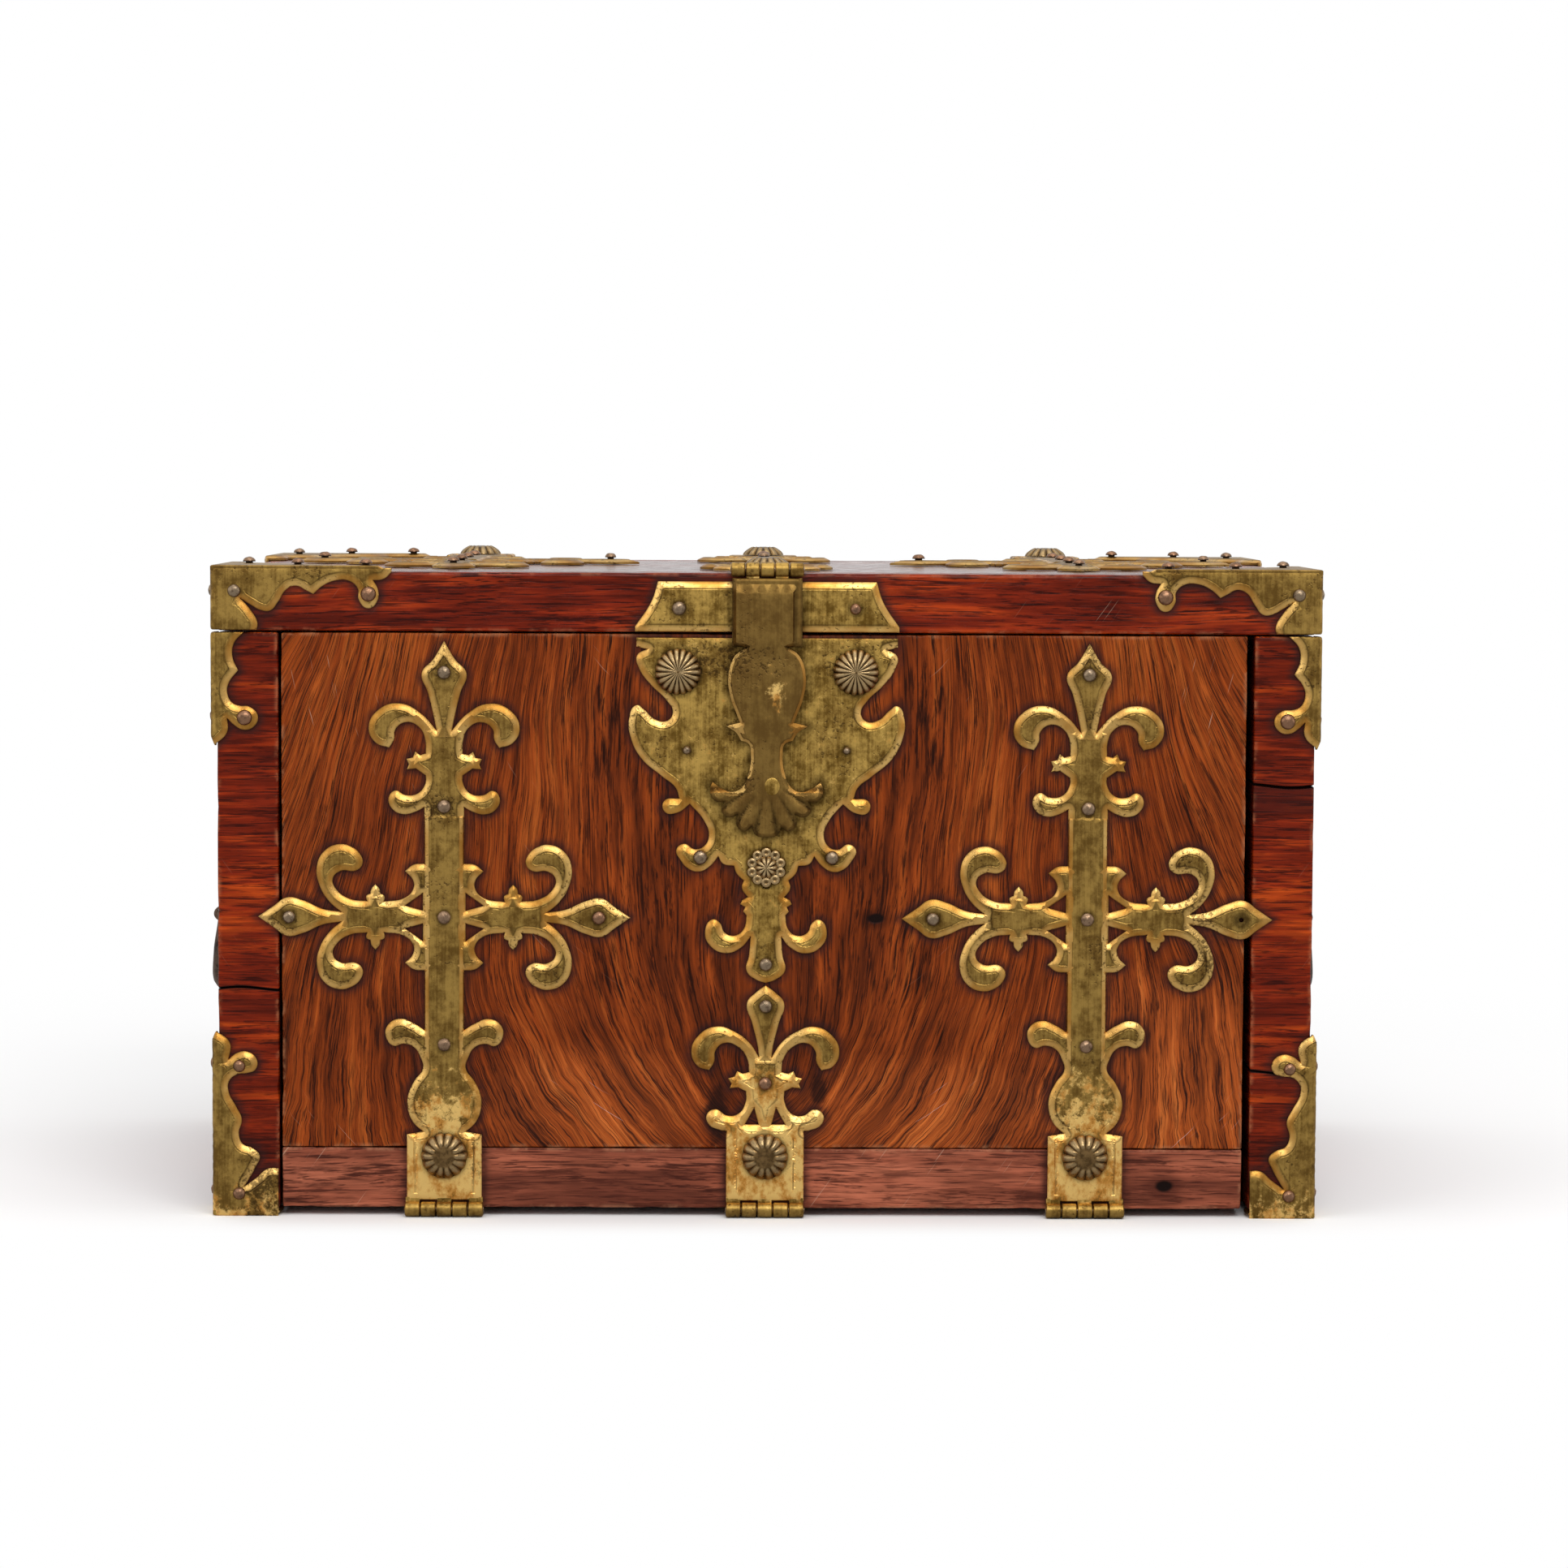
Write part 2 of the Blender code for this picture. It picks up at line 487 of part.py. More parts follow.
# Lock case: an open-backed tray with a guide and a keeper for the bolt
case_y = Y_FRONT + FRONT_SKIN + JOINT
case_x = (mortise_x[0] + JOINT, mortise_x[1] - JOINT)
case_z = (CASE_BOTTOM + JOINT, CASE_TOP - JOINT)
tray = box(case_x, (case_y, Y_INSIDE), case_z)
wall = LOCK_CASE_WALL
hollow = box(
    (case_x[0] + wall, case_x[1] - wall), (case_y + wall, Y_INSIDE + 1.0), (case_z[0] + wall, case_z[1] - wall)
)
tray = cut(tray, hollow, *lock_openings())
guide_y = (case_y + wall / 2, BOLT_Y + BOLT / 2 + 2.0)
guide_z = (STAPLE_Z - BOLT / 2 - 2.4, STAPLE_Z + BOLT / 2 + 2.4)
bolt_x = slot_half + 0.6
tail_x = bolt_x + BOLT_LENGTH - BOLT_TAIL - 1.0
guide = box((slot_half + GUIDE_START, tail_x - BOLT_TRAVEL - 1.4), guide_y, guide_z)
keeper = box((-slot_half - 9.0, -slot_half - 1.0), guide_y, guide_z)
bolt_half = BOLT / 2 + BOLT_CLEAR
channel = box(
    (-slot_half - 12.0, slot_half + 14.0), (BOLT_Y - bolt_half, BOLT_Y + bolt_half),
    (STAPLE_Z - bolt_half, STAPLE_Z + bolt_half),
)
part("lock_case", cut(union(tray, guide, keeper), channel), "iron", FRONT_AXIS)

# Lock bolt, drawn back at rest, with the tail that the key pushes
bolt = box(
    (bolt_x, bolt_x + BOLT_LENGTH), (BOLT_Y - BOLT / 2, BOLT_Y + BOLT / 2), (STAPLE_Z - BOLT / 2, STAPLE_Z + BOLT / 2)
)
tail = box(
    (tail_x, tail_x + BOLT_TAIL), (BOLT_Y - BOLT / 2 + 0.8, BOLT_Y + BOLT / 2 - 0.8),
    (STAPLE_Z - 20.0, STAPLE_Z),
)
part("lock_bolt", union(bolt, tail), "iron", (bolt_x, BOLT_Y, STAPLE_Z))

# Fall-front hinges: cross straps at the ends and a short strap in the middle
strap_share = (BODY_TOP - STRAP_TIP_MARGIN - FRONT_AXIS[2]) / (CROSS_TIP + CROSS_AXIS)
short_room = LOCK_TOP - LOCK_PLATE_LENGTH - SHORT_TIP_GAP - FRONT_AXIS[2]
short_share = (short_room - LEAF_START) / (SHORT_TIP - LEAF_START)
face = ((1, 0, 0), (0, 0, 1), (0, -1, 0))
finger_y = (AXIS_OUT - FACE_OUT + 0.1, AXIS_OUT - SEAT - 0.3)
finger_z = (PIN_R + PIN_CLEAR + 0.3, LEAF_START + 1.2)
rosette_z = FRONT_AXIS[2] + ROSETTE_FROM_AXIS
for side, x in (("left", -STRAP_X), ("right", STRAP_X), ("centre", 0.0)):
    if side == "centre":
        leaf = pierced(SHORT_HALF, SHORT_OPENING, False, short_share, LEAF_START)
    else:
        leaf = pierced(CROSS_HALF, CROSS_OPENING, True, strap_share, LEAF_START - CROSS_AXIS)
    rise = 0.0 if side == "centre" else CROSS_AXIS
    leaf = placed(leaf, (x, Y_FRONT - SEAT, FRONT_AXIS[2] + rise), *face)
    leaf = hinged(leaf, x, FRONT_AXIS, HINGE_LENGTH, 0, finger_y, finger_z)
    part(f"front_strap_{side}", leaf, "brass", FRONT_AXIS)
    boss = placed(rosette(), (x, Y_FRONT - FACE_OUT - SEAT, rosette_z), *face)
    part(f"front_rosette_{side}", boss, "brass", FRONT_AXIS)
    leaf_z = (BASE_RISE - SEAT - BASE_LEAF_THICK, BASE_RISE - SEAT)
    under = box(
        (x - LEAF_WIDTH / 2, x + LEAF_WIDTH / 2), (FRONT_AXIS[1] + LEAF_START, base_y[0] + BASE_LEAF_REACH), leaf_z
    )
    under_z = (leaf_z[0] + 0.2 - FRONT_AXIS[2], leaf_z[1] - 0.2 - FRONT_AXIS[2])
    under = hinged(under, x, FRONT_AXIS, HINGE_LENGTH, 1, finger_z, under_z)
    part(f"base_leaf_{side}", under, "brass")
    pin(f"front_pin_{side}", x, FRONT_AXIS, HINGE_LENGTH)

# Lock plate with its two fused rosettes, and the keyhole cover that swings on its top bead
lock_plate = placed(plate(mirrored(LOCK_HALF)), (0.0, Y_FRONT - SEAT, LOCK_TOP), *face)
bosses = []
for x in (-LOCK_ROSETTE_X, LOCK_ROSETTE_X):
    seat = (x, Y_FRONT - FACE_OUT + 0.4, LOCK_TOP - LOCK_ROSETTE_DROP)
    bosses.append(placed(rosette(rise=ROSETTE_RISE + 0.4), seat, *face))
part("lock_plate", cut(union(lock_plate, *bosses), *lock_openings()), "brass", FRONT_AXIS)
cover = placed(rosette(BOSS_R, 1.4, BOSS_BEAD_COUNT), (0.0, Y_FRONT - HASP_BACK, BOSS_Z), *face)
dome = placed(rosette(BOSS_R * 0.57, 3.0, BOSS_BEAD_COUNT), (0.0, Y_FRONT - HASP_BACK - 0.9, BOSS_Z), *face)
part("keyhole_cover", union(cover, dome), "brass", (0.0, Y_FRONT - HASP_BACK, BOSS_Z + BOSS_PIVOT_RISE))

# Lid: a board let into four rails
lid_z = (LID_BOTTOM, LID_TOP)
whole_x = (-X_SIDE, X_SIDE)
round_top = LID_TOP - 0.01


def outer_edge(c):
    top = c.z > round_top
    return top and (abs(c.x) > X_SIDE - 0.01 or c.y < Y_FRONT + 0.01 or c.y > Y_BACK - 0.01)


rails = {
    "lid_front_rail": (whole_x, (Y_FRONT, Y_FRONT + LID_RAIL)),
    "lid_back_rail": (whole_x, (Y_BACK - LID_RAIL, Y_BACK)),
    "lid_left_rail": ((-X_SIDE, -X_SIDE + LID_RAIL), (Y_FRONT + LID_RAIL + JOINT, Y_BACK - LID_RAIL - JOINT)),
    "lid_right_rail": ((X_SIDE - LID_RAIL, X_SIDE), (Y_FRONT + LID_RAIL + JOINT, Y_BACK - LID_RAIL - JOINT)),
}
for name, (x, y) in rails.items():
    part(name, box(x, y, lid_z, outer_edge, LID_EDGE_ROUND), "rosewood", LID_AXIS)
inset = LID_RAIL + JOINT
board_x = (-X_SIDE + inset, X_SIDE - inset)
lid_board = box(board_x, (Y_FRONT + inset, Y_BACK - inset), (LID_TOP - LID_BOARD, LID_TOP))
part("lid_top_board", lid_board, "rosewood", LID_AXIS)

# Lid hinges: the same straps on the lid's top, bent down its back to the knuckles
top = ((-1, 0, 0), (0, -1, 0), (0, 0, 1))
bend = Y_BACK + FACE_OUT - 0.3
lid_share = (bend - Y_FRONT - LID_TIP_MARGIN) / (CROSS_TIP + CROSS_AXIS - LEAF_START)
for side, x in (("left", -STRAP_X), ("right", STRAP_X), ("centre", 0.0)):
    if side == "centre":
        leaf = pierced(SHORT_HALF, SHORT_OPENING, False, chamfer=LID_CHAMFER)
        half_width = SHORT_HALF[-1][0]
    else:
        leaf = pierced(CROSS_HALF, CROSS_OPENING, True, lid_share, LEAF_START - CROSS_AXIS, chamfer=LID_CHAMFER)
        half_width = CROSS_FOOT[-1][0]
    rise = LEAF_START if side == "centre" else LEAF_START - CROSS_AXIS
    leaf = placed(leaf, (x, bend + rise, LID_TOP + SEAT), *top)
    down = box(
        (x - half_width + 0.2, x + half_width - 0.2), (Y_BACK + SEAT, Y_BACK + FACE_OUT),
        (LID_AXIS[2] + LEAF_START, LID_TOP + SEAT + PLATE - CHAMFER - 0.2),
    )
    leaf = union(leaf, down)
    lid_y = (-AXIS_OUT + SEAT + 0.3, -AXIS_OUT + FACE_OUT - 0.1)
    leaf = hinged(leaf, x, LID_AXIS, HINGE_LENGTH, 0, lid_y, finger_z)
    part(f"lid_strap_{side}", leaf, "brass", LID_AXIS)
    boss = placed(rosette(), (x, bend + LEAF_START - ROSETTE_FROM_AXIS, LID_TOP + FACE_OUT + SEAT), *top)
    part(f"lid_rosette_{side}", boss, "brass", LID_AXIS)
    behind_z = (LID_AXIS[2] - LEAF_START - BACK_LEAF_DROP, LID_AXIS[2] - LEAF_START)
    behind = box((x - LEAF_WIDTH / 2, x + LEAF_WIDTH / 2), (Y_BACK + SEAT, Y_BACK + FACE_OUT), behind_z)
    behind = hinged(behind, x, LID_AXIS, HINGE_LENGTH, 1, lid_y, (-finger_z[1], -finger_z[0]))
    part(f"back_leaf_{side}", behind, "brass")
    pin(f"back_pin_{side}", x, LID_AXIS, HINGE_LENGTH)

# Plate on the lid's front rail, the hasp's leaf on the lid's top and the hasp with its staple
bridge = placed(plate(mirrored(LID_PLATE_HALF)), (0.0, Y_FRONT - SEAT, LID_BOTTOM), *face)
part("lid_front_plate", bridge, "brass", LID_AXIS)
hasp_share = HASP_HINGE_LENGTH / HINGE_LENGTH
leaf = pierced(SHORT_HALF, SHORT_OPENING, False, across=hasp_share, chamfer=LID_CHAMFER)
leaf = placed(leaf, (0.0, HASP_AXIS[1], LID_TOP + SEAT), (1, 0, 0), (0, 1, 0), (0, 0, 1))
seat = (0.0, HASP_AXIS[1] + ROSETTE_FROM_AXIS, LID_TOP + FACE_OUT - 0.4)
leaf = union(leaf, placed(rosette(rise=ROSETTE_RISE + 0.4), seat, (1, 0, 0), (0, 1, 0), (0, 0, 1)))
leaf_z = (LID_TOP + SEAT + 0.2 - HASP_AXIS[2], LID_TOP + FACE_OUT - 0.2 - HASP_AXIS[2])
leaf = hinged(leaf, 0.0, HASP_AXIS, HASP_HINGE_LENGTH, 0, finger_z, leaf_z)
part("hasp_leaf", leaf, "brass", LID_AXIS)
hasp = placed(plate(mirrored(HASP_HALF)), (0.0, Y_FRONT - HASP_BACK, HASP_AXIS[2]), *face)
boxed = [(11.8, -9.0, 0), (11.8, -30.0, 0), (-11.8, -30.0, 0), (-11.8, -9.0, 0)]
boxed = plate(boxed, HASP_BOX_RISE + 0.6, HASP_BOX_RISE - 0.4)
hasp = union(hasp, placed(boxed, (0.0, Y_FRONT - HASP_BACK - PLATE + 0.6, HASP_AXIS[2]), *face))
hasp_y = (-PLATE / 2 + 0.2, PLATE / 2 - 0.2)
hasp = hinged(hasp, 0.0, HASP_AXIS, HASP_HINGE_LENGTH, 1, hasp_y, (-finger_z[1], -finger_z[0]))
staple_half = STAPLE_WIDTH / 2
staple = box(
    (-staple_half, staple_half), (Y_FRONT - HASP_BACK - 0.8, BOLT_Y + STAPLE_EYE / 2 + 2.6),
    (STAPLE_Z - STAPLE_HEIGHT / 2, STAPLE_Z + STAPLE_HEIGHT / 2),
    lambda c: c.y > BOLT_Y and abs(c.x) < 0.01, 2.0,
)
eye = box(
    (-STAPLE_WIDTH, STAPLE_WIDTH), (BOLT_Y - STAPLE_EYE / 2, BOLT_Y + STAPLE_EYE / 2),
    (STAPLE_Z - STAPLE_EYE / 2, STAPLE_Z + STAPLE_EYE / 2),
)
part("hasp", union(hasp, cut(staple, eye)), "brass", HASP_AXIS)
pin("hasp_pin", 0.0, HASP_AXIS, HASP_HINGE_LENGTH, LID_AXIS)

# Corner mounts: one of each kind is shaped at the front right corner, then mirrored to the other three
middle_y = (Y_FRONT + Y_BACK) / 2
corner_x = X_SIDE + FACE_OUT
corner_y = Y_FRONT - FACE_OUT
LAP = 0.25
on_front = ((-1, 0, 0), (0, 0, 1), (0, -1, 0))
on_side = ((0, 1, 0), (0, 0, 1), (1, 0, 0))


def corner(flange, z, extra=None):
    """Front and side flanges that meet at the box's upright edge, with a flat one on the top or underneath."""
    front = placed(plate(flange, chamfer=0.0), (corner_x + LAP, Y_FRONT - SEAT, z), *on_front)
    side = placed(plate(flange, chamfer=0.0), (X_SIDE + SEAT, corner_y + LAP, z), *on_side)
    return union(front, side, *([extra] if extra else []))


lid_flange_top = LID_HEIGHT + FACE_OUT + LAP
lid_flange = LID_FLANGE + [
    (LID_FLANGE_REACH, LID_HEIGHT, 0), (LID_FLANGE_REACH, lid_flange_top, 0), (0.0, lid_flange_top, 0)
]
corner_share = BODY_WIDTH / DRAWN_WIDTH
lid_flange = stretched(lid_flange, 1.0, across=corner_share)
cap_flange = stretched(TOP_FLANGE, corner_share, across=corner_share)
cap = placed(
    plate(cap_flange, chamfer=0.0), (corner_x - LAP, corner_y + LAP, LID_TOP + SEAT), (-1, 0, 0), (0, 1, 0), (0, 0, 1)
)
pad = placed(plate(FOOT_PAD, chamfer=0.0), (corner_x - LAP, corner_y + LAP, PLATE), (-1, 0, 0), (0, 1, 0), (0, 0, -1))
kinds = {
    "lid_corner": (corner(lid_flange, LID_BOTTOM, cap), LID_AXIS),
    "upper_corner": (corner(UPPER_FLANGE, BODY_TOP), (0.0, 0.0, 0.0)),
    "foot_corner": (corner(FOOT_FLANGE, 0.0, pad), (0.0, 0.0, 0.0)),
}
for kind, (mesh, pivot) in kinds.items():
    part(f"{kind}_front_left", reflected(mesh, x=0.0), "brass", pivot)
    part(f"{kind}_back_left", reflected(mesh, x=0.0, y=middle_y), "brass", pivot)
    part(f"{kind}_back_right", reflected(mesh, y=middle_y), "brass", pivot)
    part(f"{kind}_front_right", mesh, "brass", pivot)

# Handles: a plate with two posts on each end of the box, and a bail that turns in the posts
post_y = HANDLE_SPAN / 2
end_half = HANDLE_PLATE_WIDTH / 2
straight = HANDLE_PLATE_LENGTH / 2 - end_half
rounded = [
    (straight, end_half, 0), (straight + end_half * 0.7071, end_half * 0.7071, 1), (straight + end_half, 0.0, 1),
    (straight + end_half * 0.7071, -end_half * 0.7071, 1), (straight, -end_half, 0),
]
handle_plate = placed(plate(mirrored(rounded)), (X_SIDE + SEAT, middle_y, HANDLE_HEIGHT), *on_side)
handle_x = X_SIDE + HANDLE_OUT
posts = []
for y in (middle_y - post_y, middle_y + post_y):
    posts.append(rod((X_SIDE + SEAT + 0.8, y, HANDLE_HEIGHT), (handle_x + POST_R, y, HANDLE_HEIGHT), POST_R))
bore = rod(
    (handle_x, middle_y - HANDLE_SPAN, HANDLE_HEIGHT), (handle_x, middle_y + HANDLE_SPAN, HANDLE_HEIGHT),
    PIVOT_R + PIVOT_CLEAR, 10,
)
handle_plate = cut(union(handle_plate, *posts), bore)

pin_end = post_y + POST_R
shoulder = post_y - POST_R - 1.4
bail_half = [
    (-pin_end, 0.0, PIVOT_R, 0), (-shoulder, 0.0, PIVOT_R, 0), (-shoulder + 3.0, -4.0, PIVOT_R * 1.35, 1),
    (-shoulder + 5.4, -BAIL_DROP * 0.5, BAIL_R * 0.72, 1), (-shoulder + 14.0, -BAIL_DROP * 0.9, BAIL_R * 0.9, 1),
    (0.0, -BAIL_DROP, BAIL_R, 1),
]
bail_path = bail_half + [(-y, z, r, kind) for y, z, r, kind in reversed(bail_half) if y]
curve = bpy.data.curves.new("bail", "CURVE")
curve.dimensions = "3D"
curve.bevel_depth = 1.0
curve.bevel_resolution = 1
curve.use_fill_caps = True
curve.resolution_u = 3
spline = curve.splines.new("BEZIER")
spline.bezier_points.add(len(bail_path) - 1)
for knot, (y, z, radius, kind) in zip(spline.bezier_points, bail_path):
    knot.co = (handle_x, middle_y + y, HANDLE_HEIGHT + z)
    knot.radius = radius
    knot.handle_left_type = knot.handle_right_type = "AUTO" if kind else "VECTOR"
holder = bpy.data.objects.new("bail", curve)
bpy.context.scene.collection.objects.link(holder)
raw = bpy.data.meshes.new_from_object(holder.evaluated_get(bpy.context.evaluated_depsgraph_get()))
bpy.data.objects.remove(holder, do_unlink=True)
bm = bmesh.new()
bm.from_mesh(raw)
bmesh.ops.remove_doubles(bm, verts=bm.verts, dist=0.002)
bail = mesh_of(bm)
part("handle_plate_left", reflected(handle_plate, x=0.0), "iron")
part("handle_plate_right", handle_plate, "iron")
part("bail_left", reflected(bail, x=0.0), "iron", (-handle_x, middle_y, HANDLE_HEIGHT))
part("bail_right", bail, "iron", (handle_x, middle_y, HANDLE_HEIGHT))
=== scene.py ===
"""Looks of a brass-mounted travel trunk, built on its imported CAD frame. Metres, +Z up, front to -Y."""

import json
import math

import bpy
import numpy as np
from mathutils import Matrix, Vector, geometry, noise

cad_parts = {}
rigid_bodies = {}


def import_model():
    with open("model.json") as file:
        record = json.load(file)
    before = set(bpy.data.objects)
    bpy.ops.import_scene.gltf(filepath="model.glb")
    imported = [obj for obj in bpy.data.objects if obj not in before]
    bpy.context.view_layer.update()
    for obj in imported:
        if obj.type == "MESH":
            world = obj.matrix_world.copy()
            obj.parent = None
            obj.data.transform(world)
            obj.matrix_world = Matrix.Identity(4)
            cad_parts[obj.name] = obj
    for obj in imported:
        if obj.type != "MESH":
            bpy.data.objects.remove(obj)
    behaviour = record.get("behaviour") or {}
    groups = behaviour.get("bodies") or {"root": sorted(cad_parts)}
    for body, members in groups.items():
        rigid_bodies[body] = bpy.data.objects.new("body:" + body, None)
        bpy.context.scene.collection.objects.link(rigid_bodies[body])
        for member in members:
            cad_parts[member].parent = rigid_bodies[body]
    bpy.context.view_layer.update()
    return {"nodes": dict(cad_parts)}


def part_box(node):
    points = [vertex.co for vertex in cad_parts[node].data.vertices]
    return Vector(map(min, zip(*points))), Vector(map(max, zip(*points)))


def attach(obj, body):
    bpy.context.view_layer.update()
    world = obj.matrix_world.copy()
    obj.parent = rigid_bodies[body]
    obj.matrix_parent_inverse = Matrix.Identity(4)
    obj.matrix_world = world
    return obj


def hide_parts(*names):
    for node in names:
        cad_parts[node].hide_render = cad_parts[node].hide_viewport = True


for old in list(bpy.data.objects):
    bpy.data.objects.remove(old, do_unlink=True)
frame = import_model()
nodes = frame["nodes"]

# ---------------------------------------------------------------- Carcass boards
# Two full-depth ends, a back and a base: solid boards faced with saw-cut rosewood, glued and nailed at the corners.
# The ends show cross-banded veneer on their front edges, dark red and rubbed, with a few shrinkage cracks.
MM = 0.001
CRACK_WAVE, CRACK_DEPTH, FRONT_EDGE = {"X": (170.0, 0.0007), "Y": (95.0, 0.0006)}, 1.2 * MM, (-0.1335, -0.131)


def numbers(mesh):
    """The mesh's points as an array."""
    co = np.empty(len(mesh.vertices) * 3)
    mesh.vertices.foreach_get("co", co)
    return co.reshape(-1, 3)


def attribute(mesh, name, values):
    layer = mesh.attributes.get(name) or mesh.attributes.new(name, "FLOAT", "POINT")
    layer.data.foreach_set("value", np.asarray(values, np.float32))


def only(piece):
    """Makes the piece the one that operators act on."""
    bpy.ops.object.select_all(action="DESELECT")
    piece.select_set(True)
    bpy.context.view_layer.objects.active = piece


def face_out():
    """Turns the faces of the active piece outwards."""
    bpy.ops.object.mode_set(mode="EDIT")
    bpy.ops.mesh.select_all(action="SELECT")
    bpy.ops.mesh.normals_make_consistent(inside=False)
    bpy.ops.object.mode_set(mode="OBJECT")


def placed(name, data):
    """A new object of this mesh or curve, made the active one."""
    piece = bpy.data.objects.new(name, data)
    bpy.context.scene.collection.objects.link(piece)
    only(piece)
    return piece


def board(name, node, facing, pitch, soft=0.9 * MM, dents=1.0, steps=4):
    """A worn board in the box of a CAD node: a grid pulled in steps to its thickness, its edges rounded and dented."""
    low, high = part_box(node)
    size = high - low
    u, v = [i for i in range(3) if i != facing]
    bpy.ops.object.select_all(action="DESELECT")
    bpy.ops.mesh.primitive_grid_add(
        x_subdivisions=max(3, round(size[u] / pitch)), y_subdivisions=max(3, round(size[v] / pitch)), size=1.0
    )
    piece = bpy.context.active_object
    piece.name = piece.data.name = name
    bpy.ops.object.mode_set(mode="EDIT")
    bpy.ops.mesh.select_all(action="SELECT")
    for _ in range(steps):
        bpy.ops.mesh.extrude_region_move(TRANSFORM_OT_translate={"value": (0.0, 0.0, 1.0 / steps)})
    bpy.ops.object.mode_set(mode="OBJECT")
    grid = numbers(piece.data)
    co = np.empty_like(grid)
    co[:, u] = low[u] + (grid[:, 0] + 0.5) * size[u]
    co[:, v] = low[v] + (grid[:, 1] + 0.5) * size[v]
    co[:, facing] = low[facing] + grid[:, 2] * size[facing]
    piece.data.vertices.foreach_set("co", co.ravel())
    face_out()
    rounded = piece.modifiers.new("rounded", "BEVEL")
    rounded.width = soft
    rounded.segments = 3
    rounded.limit_method = "ANGLE"
    rounded.angle_limit = math.radians(60)
    bpy.ops.object.modifier_apply(modifier="rounded")
    worn_edges(piece, low, high, soft, dents)
    return piece


def worn_edges(piece, low, high, soft, dents):
    """Dents along the board's edges, and the attributes that its finish reads."""
    co = numbers(piece.data)
    gaps = np.minimum(co - np.array(low), np.array(high) - co)
    order = np.argsort(gaps, axis=1)
    near = np.take_along_axis(gaps, order, axis=1)
    edge = np.hypot(near[:, 0], near[:, 1])
    middle = (np.array(low) + np.array(high)) / 2
    for i in np.nonzero(edge < 2.2 * soft)[0]:
        p = Vector(co[i])
        depth = 0.45 * max(0.0, noise.noise(p * 45.0)) + 0.55 * max(0.0, noise.noise(p * 170.0) - 0.18)
        for axis in order[i, :2]:
            co[i, axis] += math.copysign(depth * dents * MM, middle[axis] - co[i, axis])
    piece.data.vertices.foreach_set("co", co.ravel())
    attribute(piece.data, "edge", np.exp(-edge / (1.6 * MM)))
    attribute(piece.data, "grime", np.zeros(len(co)))
    only(piece)
    bpy.ops.object.shade_smooth_by_angle(angle=math.radians(32))


def add(tree, kind, inputs=None, **settings):
    """A shader node with its settings, and its inputs linked or set."""
    made = tree.nodes.new("ShaderNode" + kind)
    for key, value in settings.items():
        setattr(made, key, value)
    for key, value in (inputs or {}).items():
        if isinstance(value, bpy.types.NodeSocket):
            tree.links.new(value, made.inputs[key])
        else:
            made.inputs[key].default_value = value
    return made


def maths(tree, operation, *values):
    return add(tree, "Math", dict(enumerate(values)), operation=operation).outputs[0]


def plus(tree, a, b):
    return maths(tree, "ADD", a, b)


def less(tree, a, b):
    return maths(tree, "SUBTRACT", a, b)


def times(tree, a, b):
    return maths(tree, "MULTIPLY", a, b)


def most(tree, a, b):
    return maths(tree, "MAXIMUM", a, b)


def size_of(tree, value):
    return maths(tree, "ABSOLUTE", value)


def root_of(tree, value):
    return maths(tree, "SQRT", value)


def squares(tree, a, b):
    return plus(tree, maths(tree, "POWER", a, 2.0), maths(tree, "POWER", b, 2.0))


def painted(tree, name):
    """What a mesh attribute holds."""
    return add(tree, "Attribute", attribute_name=name).outputs["Fac"]


def grey(tree, value):
    return add(tree, "CombineColor", {0: value, 1: value, 2: value}).outputs[0]


def even(factor):
    return (factor, factor, factor)


def span(tree, value, low, high, to_low=0.0, to_high=1.0):
    """A smooth step of the value from low to high."""
    inputs = {"Value": value, "From Min": low, "From Max": high, "To Min": to_low, "To Max": to_high}
    return add(tree, "MapRange", inputs, interpolation_type="SMOOTHSTEP").outputs["Result"]


def mixed(tree, share, a, b, way="MIX"):
    made = add(tree, "Mix", {0: share, 6: a, 7: b}, data_type="RGBA", blend_type=way)
    return made.outputs[2]


def scaled(tree, vector, factors):
    return add(tree, "VectorMath", {0: vector, 1: factors}, operation="MULTIPLY").outputs[0]


def cloud(tree, vector, detail=3.0, roughness=0.55):
    inputs = {"Vector": vector, "Scale": 1.0, "Detail": detail, "Roughness": roughness}
    return add(tree, "TexNoise", inputs).outputs["Fac"]


def srgb(red, green, blue):
    """A colour written as it shows on screen, 0 to 255, as the shader wants it."""
    def line(c):
        c /= 255.0
        return c / 12.92 if c <= 0.04045 else ((c + 0.055) / 1.055) ** 2.4
    return (line(red), line(green), line(blue), 1.0)


def new_group(name, inputs, outputs):
    """An empty shader node group with these sockets and their kinds."""
    group = bpy.data.node_groups.new(name, "ShaderNodeTree")
    for way, sockets in (("INPUT", inputs), ("OUTPUT", outputs)):
        for label, kind in sockets.items():
            group.interface.new_socket(label, in_out=way, socket_type="NodeSocket" + kind)
    return group


def new_material(name):
    """A material with its node tree and its shader."""
    material = bpy.data.materials.new(name)
    material.use_nodes = True
    return material, material.node_tree, material.node_tree.nodes["Principled BSDF"]


